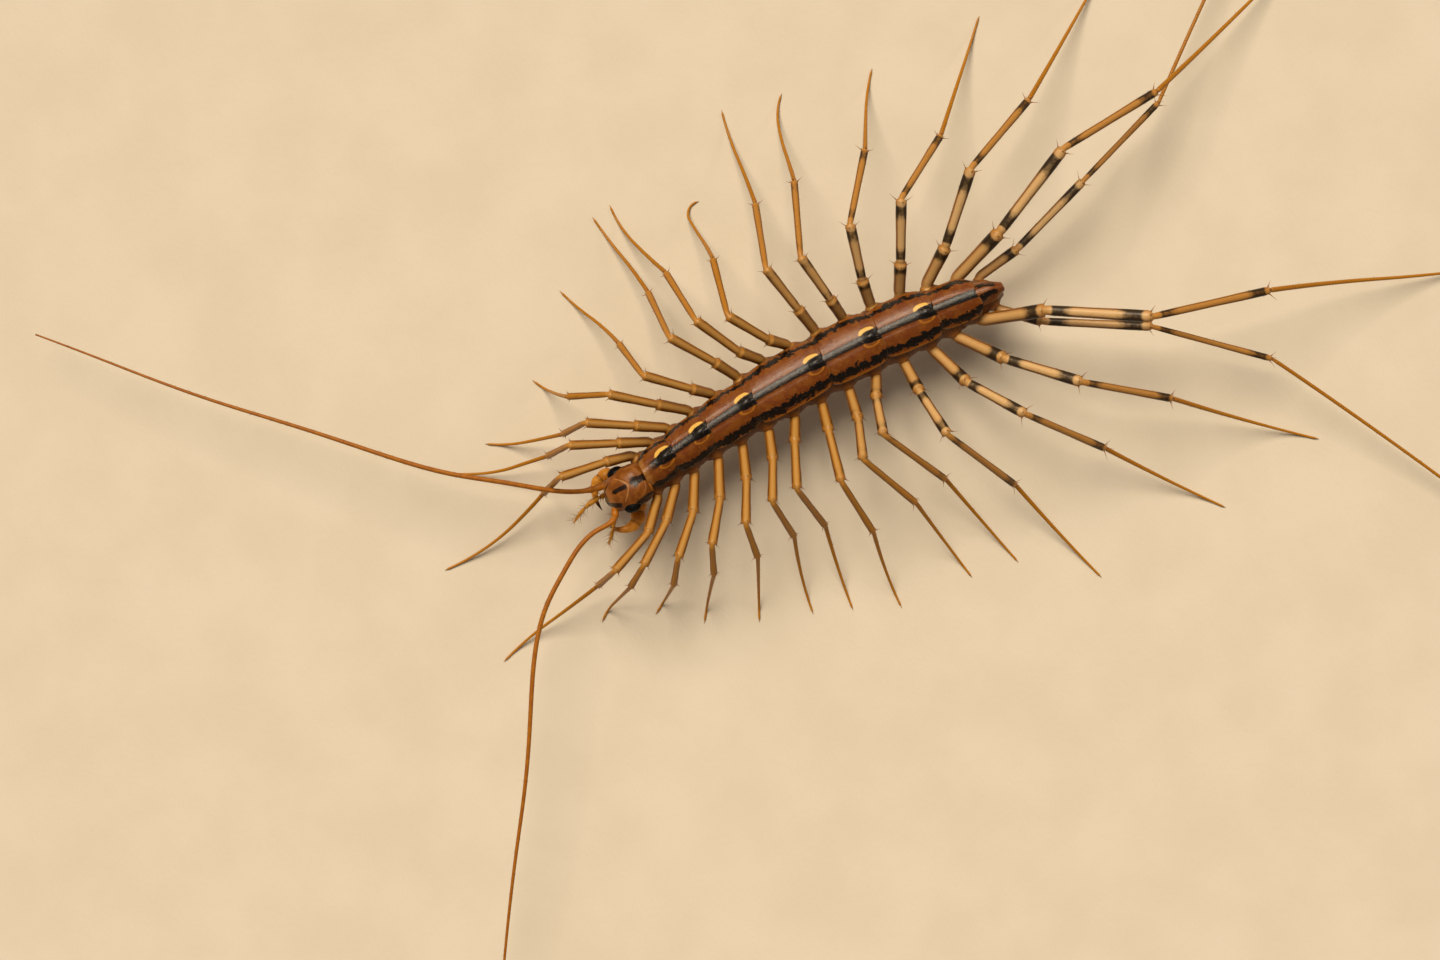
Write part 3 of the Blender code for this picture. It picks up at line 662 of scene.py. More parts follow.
def eye_tree():
    """A compound eye: a ball of corneal domes on a dark core, stretched to its axes."""
    tree, inputs = new_tree(
        "compound_eye",
        (
            ("Axes", "NodeSocketVector", (1.0, 1.0, 1.0)),
            ("Lens size", "NodeSocketFloat", 0.075),
            ("Cornea", "NodeSocketMaterial", None),
        ),
    )
    ball = add(tree, "GeometryNodeMeshIcoSphere", {"Radius": 1.0, "Subdivisions": 4})
    sockets = {"Segments": 8, "Rings": 6, "Radius": inputs["Lens size"]}
    dome = add(tree, "GeometryNodeMeshUVSphere", sockets)
    out = add(tree, "GeometryNodeInputNormal")
    lenses = copies_at(ball, dome, out, (1.0, 1.0, DOME_FLATNESS))
    sockets = {"Geometry": joined(lenses, ball), "Scale": inputs["Axes"]}
    sized = add(tree, "GeometryNodeTransform", sockets)
    return give_out(smoothed(surfaced(sized, inputs["Cornea"])))


def grow(name, mesh, tree, values):
    """Runs a geometry tree on a mesh and keeps the result as a plain mesh."""
    values = {"Bristle": bristle_surface, "Spine": spine_surface, **values}
    item = bpy.data.objects.new(name, mesh)
    grower = item.modifiers.new("grow", "NODES")
    grower.node_group = tree
    for socket in tree.interface.items_tree:
        if socket.in_out == "INPUT" and socket.name in values:
            grower[socket.identifier] = values[socket.name]
    bpy.context.scene.collection.objects.link(item)
    graph = bpy.context.evaluated_depsgraph_get()
    result = bpy.data.meshes.new_from_object(item.evaluated_get(graph))
    item.modifiers.clear()
    item.data = result
    result.name = name
    return item


def set_out(item, slot, *nodes):
    """Hangs a finished piece on the one body, in place of its solids."""
    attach(item, "root")
    if nodes:
        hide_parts(*nodes)


def store(mesh, name, values):
    """A named value, or a vector, for each vertex."""
    values = np.asarray(values, np.float32)
    vector = values.ndim == 2
    layer = mesh.attributes.new(name, "FLOAT_VECTOR" if vector else "FLOAT", "POINT")
    layer.data.foreach_set("vector" if vector else "value", values.ravel())


LIMB_VALUES = ("radius", "tone", "band", "pale", "joint", "keel", "ring", "hairy")


def path_mesh(name, points, values, spines=()):
    """A path in millimetres with values at its points, then loose spine roots."""
    count = len(points)
    roots = np.reshape([root for root, _, _, _ in spines], (-1, 3))
    ways = np.reshape([way for _, way, _, _ in spines], (-1, 3))
    sizes = np.reshape([(radius, radius, length) for _, _, radius, length in spines], (-1, 3))
    mesh = bpy.data.meshes.new(name)
    places = placed(np.vstack([points, roots]))
    mesh.from_pydata(places.tolist(), [(i, i + 1) for i in range(count - 1)], [])
    for key in LIMB_VALUES:
        scale = MM if key == "radius" else 1.0
        value = np.broadcast_to(values.get(key, 0.0), count) * scale
        store(mesh, key, np.concatenate([value, np.zeros(len(roots))]))
    nothing = np.zeros((count, 3))
    store(mesh, "forward", np.vstack([unit(np.gradient(points, axis=0)), 0 * roots]))
    store(mesh, "spine_size", np.vstack([nothing, sizes * MM]))
    store(mesh, "spine_way", np.vstack([nothing, ways]))
    return mesh


def grow_skin(name, rows, values, material, settings):
    """A bristly skin over rows of points, wrapped round and drawn to a point at both ends."""
    count, width, _ = rows.shape
    places = placed(np.vstack([rows.reshape(-1, 3), rows[[0, -1]].mean(axis=1)]))
    faces = []
    for i in range(count - 1):
        row = i * width
        for k in range(width):
            after = (k + 1) % width
            faces.append((row + k, row + after, row + width + after, row + width + k))
    front = count * width
    last_row = front - width
    for k in range(width):
        after = (k + 1) % width
        faces.append((front, after, k))
        faces.append((front + 1, last_row + k, last_row + after))
    mesh = bpy.data.meshes.new(name)
    mesh.from_pydata(places.tolist(), [], faces)
    for key, value in values.items():
        value = np.asarray(value, float)
        flat = value.reshape(front, *value.shape[2:])
        store(mesh, key, np.concatenate([flat, value[[0, -1]].mean(axis=1)]))
    mesh.shade_smooth()
    mesh.materials.append(material)
    return grow(name, mesh, bristle, settings)


# Legs: half thicknesses in mm, then shares of them along each piece from its root.
PART_RADII = {"coxa": 0.44, "prefemur": 0.385, "femur": 0.335, "tibia": 0.235}
LEG_SCALE = {1: 0.92, 10: 1.0, 12: 1.06, 13: 1.1, 14: 1.16, 15: 0.88}
PART_PROFILES = {
    "coxa": {0.0: 1.0, 0.7: 1.08, 0.9: 1.04, 1.0: 0.94},
    "prefemur": {0.0: 0.96, 0.05: 0.94, 0.15: 0.98, 0.4: 0.98, 0.9: 1.05, 0.965: 1.03, 1.0: 0.8},
    "femur": {0.0: 0.78, 0.04: 0.86, 0.15: 0.92, 0.4: 0.94, 0.9: 1.03, 0.965: 1.0, 1.0: 0.76},
    "tibia": {0.0: 0.78, 0.04: 0.84, 0.15: 0.92, 0.5: 0.95, 0.9: 1.04, 0.965: 1.0, 1.0: 0.7},
}
KEEL_PROFILE = {0.08: 0, 0.2: 1, 0.85: 1, 0.95: 0}
PART_STEP = 0.09
PART_HAIRY = (0.08, 0.95)
CORNER_ROUND = 0.24
HIP_ROUND = 0.5
ROOT_DEPTH = 0.5
BAND_STRENGTH = {1: 0.25, 6: 0.3, 9: 0.45, 10: 0.6, 11: 0.85, 13: 1.0, 15: 1.0}
BANDS = {
    "coxa": {0.0: 0.0},
    "prefemur": {0.6: 0.0, 0.72: 0.6, 0.8: 1.1, 0.88: 1.1, 0.94: 0.0},
    "femur": {
        0.04: 0.0, 0.08: 1.1, 0.16: 1.1, 0.28: 0.3, 0.64: 0.25, 0.76: 0.9, 0.83: 1.1, 0.89: 1.0,
        0.94: 0.0,
    },
    "tibia": {
        0.04: 0.0, 0.07: 0.9, 0.13: 0.9, 0.26: 0.1, 0.74: 0.1, 0.86: 1.0, 0.93: 1.0, 0.97: 0.0,
    },
}
TONES = {"coxa": 0.0, "prefemur": 0.15, "femur": 0.4, "tibia": 0.65}
PALE_STRENGTH = {8: 0.0, 12: 1.0}
PALE_SHARES = {"coxa": 0.2, "prefemur": 0.45, "femur": 1.0, "tibia": 0.2}
# Long spines stand at the sides and on top of a piece's far end, short ones all round it.
SPINE_REACH = {1: 0.55, 8: 0.65, 12: 1.0}
SPINE_BACK = 0.16
LONG_SPINES = {0: 1.0, 180: 1.0, 90: 0.75}
LONG_SPINE_RADIUS = 0.03
SHORT_SPINES = 8
SHORT_SPINE_RADIUS = 0.02
TOOTH_PITCH = 0.42
TOOTH_RADIUS = 0.012
# The tarsus is ringed, and lies on the floor with its tip.
TARSUS_START = 0.155
TARSUS_END = 0.07
TARSUS_FINENESS = 240
CLAW_LENGTH = 0.3
RING_PITCH = 0.22
RING_SAMPLES = 5
CLEAR_OF_FLOOR = 0.3


def ankle_height(pair, reach):
    """The height from which a tarsus of its real length reaches that far along the floor."""
    if pair in ANKLE_Z_REAR:
        return ANKLE_Z_REAR[pair]
    rise = math.sqrt(max(keyed(TARSUS_LENGTH, pair) ** 2 - reach**2, 0.0))
    return min(max(rise, ANKLE_Z_RANGE[0]), ANKLE_Z_RANGE[1])


def leg_joints(side, pair):
    """A root inside the trunk, the trochanter, and the far ends of prefemur, femur and tibia."""
    sign = side_sign(side)
    prefemur, femur, tibia, _, tarsus_reach = POSE[side][pair - 1]
    y = keyed(HIP_Y, pair) + HIP_SHIFT[side]
    half = body_half_width(y)
    hip_z = keyed(HIP_Z, pair)
    root_x = middle_x(y) + sign * (half * CORE_SHARE + HIP_GAP - ROOT_DEPTH)
    trochanter_x = middle_x(y) + sign * (half + TROCHANTER_OUT)
    joints = [
        np.array((root_x, y, hip_z)), np.array((trochanter_x, y, hip_z + TROCHANTER_RISE))
    ]
    stages = (
        ("prefemur", prefemur, keyed(KNEE_BASE_Z, pair)),
        ("femur", femur, keyed(KNEE_Z, pair)),
        ("tibia", tibia, ankle_height(pair, tarsus_reach)),
    )
    for name, heading, height in stages:
        place = joints[-1] + heading_step(side, heading, keyed(REACH[side][name], pair))
        place[2] = height
        joints.append(place)
    return joints


def tarsus_line(side, pair, start):
    """The tarsus as a smooth curve that comes down to lie on the floor at its tip."""
    headings = POSE[side][pair - 1][3]
    reach = POSE[side][pair - 1][4]
    keys = {i / (len(headings) - 1): heading for i, heading in enumerate(headings)}
    line = [start]
    for i in range(TARSUS_FINENESS):
        heading = keyed(keys, (i + 0.5) / TARSUS_FINENESS)
        line.append(line[-1] + heading_step(side, heading, reach / TARSUS_FINENESS))
    line = np.array(line)
    share = np.linspace(0, 1, len(line))
    fall = np.clip(1 - share / (1 - TIP_FLAT / reach), 0.0, 1.0)
    rest_z = TARSUS_END * 1.06
    line[:, 2] = rest_z + (start[2] - rest_z) * fall**TARSUS_SAG
    return line


def along_line(line, count):
    """That many points at equal lengths along a line, and its length."""
    steps = np.linalg.norm(np.diff(line, axis=0), axis=1)
    lengths = np.concatenate([[0.0], np.cumsum(steps)])
    at = np.linspace(0.0, lengths[-1], count)
    return np.stack([np.interp(at, lengths, line[:, k]) for k in range(3)], axis=1), lengths[-1]


def curve_at(t, start, corner, end):
    """A curve from start to end that the corner pulls toward itself."""
    return (1 - t) ** 2 * start + 2 * t * (1 - t) * corner + t**2 * end


def rounded(points, corner, before, after, reach):
    """Bends the points near a corner onto a short curve."""
    ahead = unit(after - corner)
    back = unit(before - corner)
    for i, point in enumerate(points):
        off = point - corner
        distance = np.linalg.norm(off)
        if distance < reach:
            signed = distance if np.dot(off, ahead) > np.dot(off, back) else -distance
            t = (signed + reach) / (2 * reach)
            points[i] = curve_at(t, corner + back * reach, corner, corner + ahead * reach)
    return points


def way_round(along, angle):
    """The way that stands out from a line at an angle round it, from its side toward its top."""
    across = unit(np.cross(along, UP))
    return across * math.cos(angle) + np.cross(across, along) * math.sin(angle)


def crown_of_spines(corner, before, radius, scale, reach):
    """Three long spines and a ring of short ones round the far end of a leg piece."""
    along = unit(corner - before)
    root = corner - along * SPINE_BACK
    spines = []
    for turn, share in LONG_SPINES.items():
        droop = 12 if turn != 90 else 0
        way = way_round(along, math.radians(turn + dice.uniform(-18, 18) + droop))
        length = dice.uniform(0.5, 0.68) * reach * share
        leaning = way + along * dice.uniform(0.6, 1.0)
        spines.append((root + way * radius * 0.85, leaning, LONG_SPINE_RADIUS * scale, length))
    for k in range(SHORT_SPINES):
        way = way_round(along, math.radians(22 + 45 * k + dice.uniform(-6, 6)))
        base = root + way * radius * 0.92
        spines.append((base, way + along * 1.3, SHORT_SPINE_RADIUS, dice.uniform(0.13, 0.2)))
    return spines


def rows_of_teeth(start, end, radius):
    """Tiny teeth along the four keels of a leg piece."""
    along = unit(end - start)
    length = np.linalg.norm(end - start)
    teeth = []
    for turn in (45, 135, 225, 315):
        way = way_round(along, math.radians(turn))
        for k in range(int(length / TOOTH_PITCH)):
            share = (k + dice.uniform(0.3, 0.9)) * TOOTH_PITCH / length
            if 0.12 < share < 0.9:
                root = start + (end - start) * share + way * radius * 0.95
                teeth.append((root, way + along * 1.4, TOOTH_RADIUS, dice.uniform(0.06, 0.12)))
    return teeth


def part_values(name, pair, radius, share):
    """What a stiff piece's skin says at shares of its length."""
    jointed = float(name != "coxa")
    hairy = (share > PART_HAIRY[0]) & (share < PART_HAIRY[1])
    return {
        "radius": radius * eased(PART_PROFILES[name], share),
        "tone": 0 * share + TONES[name],
        "band": keyed(BAND_STRENGTH, pair) * keyed(BANDS[name], share),
        "pale": 0 * share + keyed(PALE_STRENGTH, pair) * PALE_SHARES[name],
        "joint": np.clip(bump_at(share, 0.05) + bump_at(1 - share, 0.04), 0, 1) * 0.7,
        "keel": keyed(KEEL_PROFILE, share) * jointed,
        "ring": bump_at(1 - share, 0.012) * jointed,
        "hairy": np.where(hairy, 0.6, 0.0),
    }


def tarsus_stretch(tarsus, scale):
    """Evenly spaced points along a ringed tarsus, and what its skin says there."""
    length = along_line(tarsus, 2)[1]
    rings = int(length / RING_PITCH)
    line = along_line(tarsus, rings * RING_SAMPLES)[0]
    share = np.linspace(0, 1, len(line))
    phase = (share * rings) % 1.0
    taper = TARSUS_START * scale + (TARSUS_END - TARSUS_START * scale) * share
    claw = np.clip((1 - share) * length / CLAW_LENGTH, 0.25, 1.0)
    return line, {
        "radius": taper * (0.93 + 0.12 * phase) * claw * keyed({0: 0.8, 0.01: 1.0}, share),
        "tone": 0.8 + 0.2 * share,
        "band": np.clip((share - 0.93) / 0.07, 0, 1) * 0.6,
        "pale": 0 * share,
        "joint": bump_at(share, 0.01) * 0.6,
        "keel": 0 * share,
        "ring": np.clip(1 - np.abs(phase - 0.02) / 0.3, 0, 1),
        "hairy": np.where(line[:, 2] > CLEAR_OF_FLOOR, 1.0, 0.0),
    }


def build_leg(side, pair):
    scale = keyed(LEG_SCALE, pair)
    joints = leg_joints(side, pair)
    tarsus = tarsus_line(side, pair, joints[-1])
    lines = []
    stretches = []
    spines = []
    for name, start, end in zip(PART_PROFILES, joints, joints[1:]):
        count = max(int(np.linalg.norm(end - start) / PART_STEP), 10)
        share = np.linspace(0, 1, count, endpoint=False)
        radius = PART_RADII[name] * scale
        lines.append(start + (end - start) * share[:, None])
        stretches.append(part_values(name, pair, radius, share))
        if name != "coxa":
            spines += crown_of_spines(end, start, radius * 1.05, scale, keyed(SPINE_REACH, pair))
            spines += rows_of_teeth(start, end, radius)
    line, values = tarsus_stretch(tarsus, scale)
    points = np.vstack([*lines, line])
    stretches.append(values)
    # Past the ankle, a place a little way down the tarsus gives the way on.
    corners = [*joints, tarsus[6]]
    for index in range(1, len(joints)):
        before, corner, after = corners[index - 1 : index + 2]
        reach = HIP_ROUND if index == 1 else CORNER_ROUND
        points = rounded(points, corner, before, after, reach)
    values = {key: np.concatenate([part[key] for part in stretches]) for key in LIMB_VALUES}
    name = f"leg_{side}_{pair}"
    mesh = path_mesh(f"{name}_skin", points, values, spines)
    leg = grow(f"{name}_skin", mesh, limb, {"Seed": 100 + pair, "Skin": leg_surface})
    set_out(leg, "leg", name, *([f"{name}_tarsus"] if pair in (14, 15) else []))


# Antennae: headings from straight out sideways at distances along each one.
ANTENNA_ROOT = (0.95, 0.12)
ANTENNA_LENGTH = 40.0
ANTENNA_THICKNESS = {
    0.0: 0.24, 0.25: 0.26, 0.5: 0.19, 0.75: 0.23, 1.1: 0.17, 12.0: 0.16, 25.0: 0.12, 40.0: 0.06,
}
ANTENNA_HEADINGS = {
    "left": {
        0.0: -12, 0.4: -42, 0.9: -80, 1.6: -90, 2.6: -76, 4.0: -62, 7.0: -55, 9.5: -42,
        24.0: -36, 40.0: -31,
    },
    "right": {
        0.0: -85, 1.6: -66, 3.0: -57, 9.0: -53, 12.0: -47, 25.0: -45, 33.0: -41, 40.0: -42,
    },
}
ANTENNA_HEIGHTS = {0: 4.9, 2.5: 5.3, 12: 5.6, 25: 4.6, 40: 3.2}
ANTENNA_SOCKET = (0.78, 0.62, 4.95)
ANTENNA_BEND = 0.16
ELBOW_POINTS = 12
ANNULUS = 0.15


def build_antenna(side):
    sign = side_sign(side)
    step = ANNULUS / 4
    at = np.arange(int(ANTENNA_LENGTH / step) + 1) * step
    headings = eased(ANTENNA_HEADINGS[side], at)
    steps = np.array([heading_step(side, heading, step) for heading in headings])
    root = head_place(sign, (*ANTENNA_ROOT, ANTENNA_HEIGHTS[0]))
    points = root + np.cumsum(steps, axis=0) - steps[0]
    points[:, 2] += eased(ANTENNA_HEIGHTS, at) - ANTENNA_HEIGHTS[0]
    share = np.linspace(0, 1, ELBOW_POINTS, endpoint=False)[:, None]
    bend = root - heading_step(side, headings[0], ANTENNA_BEND)
    elbow = curve_at(share, head_place(sign, ANTENNA_SOCKET), bend, root)
    points = np.vstack([elbow, points])
    at = np.concatenate([np.zeros(ELBOW_POINTS), at])
    phase = (at / ANNULUS) % 1.0
    ringed = np.clip((at - 0.9) / 0.6, 0, 1)
    values = {
        "radius": keyed(ANTENNA_THICKNESS, at) * (1 + 0.09 * (phase - 0.5) * ringed),
        "ring": np.clip(1 - phase / 0.45, 0, 1) * ringed,
        "band": 0.25 * bump_at(at - 0.6, 0.15),
        "hairy": np.clip(at / 1.5, 0, 1),
    }
    name = f"antenna_{side}_feeler"
    settings = {
        "Sides": 12, "Keel height": 0.0, "Count per square metre": 7.0e6, "Length": 0.13 * MM,
        "Seed": 40 + int(side == "left"), "Skin": antenna_surface,
    }
    feeler = grow(name, path_mesh(name, points, values), limb, settings)
    set_out(feeler, "antenna", f"antenna_{side}_base", f"antenna_{side}_whip")


# Mouth claws and palps: lateral place from the head's middle line, Y from its front, Z.
CLAW_ROOT = (0.5, 2.6, 3.6)
CLAW_PATHS = {
    "left": (
        (0.75, 1.9, 3.0), (1.5, 1.6, 2.95), (2.2, 1.0, 3.0), (2.35, 0.35, 3.05),
        (2.15, -0.25, 3.1), (1.8, -0.6, 3.1), (1.4, -0.75, 3.1),
    ),
    "right": (
        (0.75, 1.9, 2.85), (1.25, 1.4, 2.8), (1.5, 0.6, 2.85), (1.4, -0.05, 2.9),
        (0.95, -0.5, 3.0), (0.3, -0.72, 3.05), (-0.45, -0.68, 3.05),
    ),
}
CLAW_THICKNESS = {
    0.0: 0.5, 0.15: 0.5, 0.19: 0.43, 0.27: 0.5, 0.37: 0.46, 0.4: 0.38, 0.43: 0.48, 0.53: 0.47,
    0.56: 0.38, 0.6: 0.42, 0.68: 0.32, 0.8: 0.2, 0.92: 0.1, 1.0: 0.02,
}
CLAW_JOINTS = (0.4, 0.56, 0.19)
CLAW_POINTS = 90
PALP_ROOT = (0.3, 1.0, 3.4)
PALP_PATHS = {
    "left": ((0.35, 0.6, 2.75), (1.3, -0.2, 3.95), (2.1, -0.75, 4.0), (2.7, -1.4, 3.5)),
    "right": ((0.3, 0.6, 2.75), (0.4, -0.6, 3.95), (0.2, -1.7, 3.9), (-0.3, -2.8, 3.2)),
}
PALP_THICKNESS = {
    0.0: 0.2, 0.17: 0.17, 0.42: 0.14, 0.45: 0.09, 0.49: 0.135, 0.67: 0.13, 0.7: 0.08, 0.74: 0.115,
    0.88: 0.1, 1.0: 0.03,
}
PALP_JOINTS = (0.45, 0.7)
PALP_POINTS = 70
MOUTH_BRISTLE_RADIUS = 0.017


def smooth_path(side, path, count):
    """A smooth curve through a mouthpart's places."""
    corners = np.array([mouth_place(side_sign(side), place) for place in path])
    keys = np.linspace(0, 1, len(corners))
    share = np.linspace(0, 1, count)
    line = [eased(dict(zip(keys, corners[:, k])), share) for k in range(3)]
    return along_line(np.stack(line, axis=1), count)[0]


def side_bristles(points, first, last, count, length, radius):
    """Stiff bristles all round a mouthpart, leaning toward its tip."""
    spines = []
    forward = unit(np.gradient(points, axis=0))
    for k in range(count):
        index = int((first + (last - first) * (k + dice.random()) / count) * (len(points) - 1))
        along = forward[index]
        way = way_round(along, dice.uniform(0, 2 * math.pi))
        root = points[index] + way * radius * 0.7
        leaning = way + along * dice.uniform(0.4, 1.1)
        spines.append((root, leaning, MOUTH_BRISTLE_RADIUS, length * dice.uniform(0.5, 1.2)))
    return spines


def build_claw(side):
    share = np.linspace(0, 1, CLAW_POINTS)
    points = smooth_path(side, (CLAW_ROOT, *CLAW_PATHS[side]), CLAW_POINTS)
    values = {
        "radius": eased(CLAW_THICKNESS, share),
        "band": np.clip((share - 0.77) / 0.18, 0, 1),
        "ring": sum(bump_at(share - joint, 0.015) for joint in CLAW_JOINTS),
        "hairy": np.where(share < 0.75, 0.35, 0.0),
    }
    name = f"forcipule_{side}_claw"
    mesh = path_mesh(name, points, values, side_bristles(points, 0.25, 0.75, 26, 0.3, 0.42))
    settings = {
        "Sides": 24, "Keel height": 0.0, "Seed": 5, "Skin": claw_surface, "Spine": bristle_surface,
    }
    set_out(grow(name, mesh, limb, settings), "venom_claw", f"forcipule_{side}")


def build_palp(side):
    share = np.linspace(0, 1, PALP_POINTS)
    points = smooth_path(side, (PALP_ROOT, *PALP_PATHS[side]), PALP_POINTS)
    values = {
        "radius": eased(PALP_THICKNESS, share),
        "band": sum(0.6 * bump_at(share - joint, 0.02) for joint in PALP_JOINTS),
        "hairy": 1.0,
    }
    name = f"palp_{side}_skin"
    mesh = path_mesh(name, points, values, side_bristles(points, 0.38, 0.98, 64, 0.62, 0.14))
    settings = {
        "Sides": 14, "Keel height": 0.0, "Seed": 9, "Skin": palp_surface,
        "Spine": palp_spine_surface,
    }
    set_out(grow(name, mesh, limb, settings), "palp", f"palp_{side}")


# Back plates: a thin arched shield each, its rear edge lying over the next one's front.
PLATE_THICKNESS = 0.13
PLATE_OVERLAP = 0.42
COLLAR = 0.12
PLATE_LIFT = 0.09
PLATE_COLUMNS = 61
PLATE_ROWS = 56
PLATE_FRONT_DRAW = 0.13
PLATE_REAR_DRAW = 0.11
TELSON_DRAW = 0.42
TELSON_DROOP = 0.5
TELSON_SWEEP = 0.6
REAR_SWEEP = 0.45
FRONT_SWEEP = 0.3
REAR_NOTCH = 0.16
RIDGE_HEIGHT = 0.05
RIDGE_WIDTH = 0.32
EDGE_ROLL = 0.035
SADDLE_FROM_REAR = 0.62
KNOB_HEIGHT = 0.17
SLIT_DEPTH = 0.08
FURROW_DEPTH = 0.03
WIDEST_HALF = 2.0
STRIPE_STRETCH = 1.4
# How far the side stripes sit out toward the plate's edge, farther on the left.
STRIPE_INSET = {"trunk_1": 0.12, "trunk_2": 0.1, "trunk_3": 0.05, "telson": -0.2}
LEFT_INSET_SHARE = 1.5


def build_plate(name, front, rear, half):
    is_telson = name == "telson"
    saddled = float(name not in ("trunk_7", "telson"))
    start = front - (COLLAR if name == "trunk_1" else PLATE_OVERLAP)
    across = np.sin(np.linspace(-1, 1, PLATE_COLUMNS) * math.pi / 2)
    v, u = np.meshgrid(np.linspace(0, 1, PLATE_ROWS), across, indexing="ij")
    # The outline: drawn in at both ends, its rear corners swept forward and its front ones back.
    ends = np.where(v < 0.5, PLATE_FRONT_DRAW, PLATE_REAR_DRAW) * np.abs(2 * v - 1) ** 3.2
    if is_telson:
        ends = TELSON_DRAW * v**2.4
    width = half * (1 - ends)
    corner = np.clip((np.abs(u) - 0.45) / 0.55, 0, 1) ** 2.2
    rear_sweep = TELSON_SWEEP if is_telson else REAR_SWEEP
    y = start + (rear - start) * v
    y = y - corner * rear_sweep * v**5 + corner * FRONT_SWEEP * (1 - v) ** 5
    x = u * width
    if not is_telson:
        y = y - REAR_NOTCH * bump_at(x, 0.3) * v**8 + 0.05 * v**6
    arch = PLATE_CROWN * (1 - np.abs(u) ** PLATE_ARCH)
    z = PLATE_EDGE_Z + arch + PLATE_LIFT * np.clip((v - 0.25) / 0.4, -1, 1)
    if is_telson:
        z = z - TELSON_DROOP * v**3
    else:
        z = z + RIDGE_HEIGHT * bump_at(x, RIDGE_WIDTH)
    # The relief: a rolled edge, the knob with its slit between two swells, and two furrows.
    edge = width * (1 - np.abs(u))
    rear_gap = rear - y
    z = z + EDGE_ROLL * bump_at(edge - 0.06, 0.06)
    knob = np.sqrt((x / 0.36) ** 2 + ((rear_gap - SADDLE_FROM_REAR) / 0.5) ** 2)
    slit = bump_at(x, 0.04) * bump_at(rear_gap - 0.25, 0.28)
    z = z + saddled * (KNOB_HEIGHT * bump_at(knob, 0.9) - SLIT_DEPTH * slit)
    beside_knob = bump_at(np.abs(x) - 0.55, 0.12) * bump_at(rear_gap - SADDLE_FROM_REAR, 0.35)
    z = z + saddled * EDGE_ROLL * beside_knob
    z = z - FURROW_DEPTH * bump_at(np.abs(x) - 0.38, 0.1) * np.clip(rear_gap - 1.0, 0, 1)
    middle = middle_x(y)
    top = leant(np.stack([x + middle, y, z], axis=2), middle)
    rim = np.clip(edge / 0.3, 0, 1) * np.clip(np.minimum(v, 1 - v) / 0.06, 0, 1)
    under = top - np.stack([0 * z, 0 * z, PLATE_THICKNESS * (0.45 + 0.55 * rim)], axis=2)
    loops = np.concatenate([top, under[:, ::-1]], axis=1)

    def both(values):
        return np.concatenate([values, values[:, ::-1]], axis=1)

    flat = np.zeros_like(both(x))
    inset = STRIPE_INSET.get(name, 0.0)
    left_inset = np.maximum(inset, 0.0) * LEFT_INSET_SHARE * (both(x) > 0)
    values = {
        "lateral": both(x),
        "rear": both(rear_gap),
        "front": both(y - start) if name == "trunk_1" else flat + 9.0,
        "edge": both(edge * min(WIDEST_HALF / half, STRIPE_STRETCH)),
        "inset": flat + inset + left_inset,
        "saddled": flat + saddled,
        "striped": flat + float(not is_telson),
        "hairy": np.concatenate([np.clip(edge / 0.3, 0.15, 1), 0 * x], axis=1),
        "forward": np.stack([flat, flat + 1.0, flat - 0.2], axis=2),
    }
    settings = {
        "Count per square metre": 1.6e6, "Length": 0.1 * MM, "Lean": 1.6, "Thickness": 0.011 * MM,
        "Seed": int(half * 100),
    }
    set_out(grow_skin(f"{name}_plate", loops, values, plate_surface, settings), "shell", name)


def squarish_ring(count, power):
    """Cosines and sines round a ring that is drawn out toward a square."""
    angle = np.linspace(0, 2 * math.pi, count, endpoint=False)
    ring = np.stack([np.cos(angle), np.sin(angle)])
    return np.sign(ring) * np.abs(ring) ** power


TRUNK_COLUMNS = 64
TRUNK_STEP = 0.1
TRUNK_SQUARENESS = 0.8
NECK_DEPTH = 0.35
CORE_WIDTH = 0.84
FLANK_SWELL = 0.16
HIP_LOBE_WIDTH = 0.5
HIP_LOBE_BASE = 0.1
HIP_LOBE_OUT = 0.34
FOLD_DEPTH = 0.035
GROOVE_DEPTH = 0.1
TAIL_SWELL = 0.47


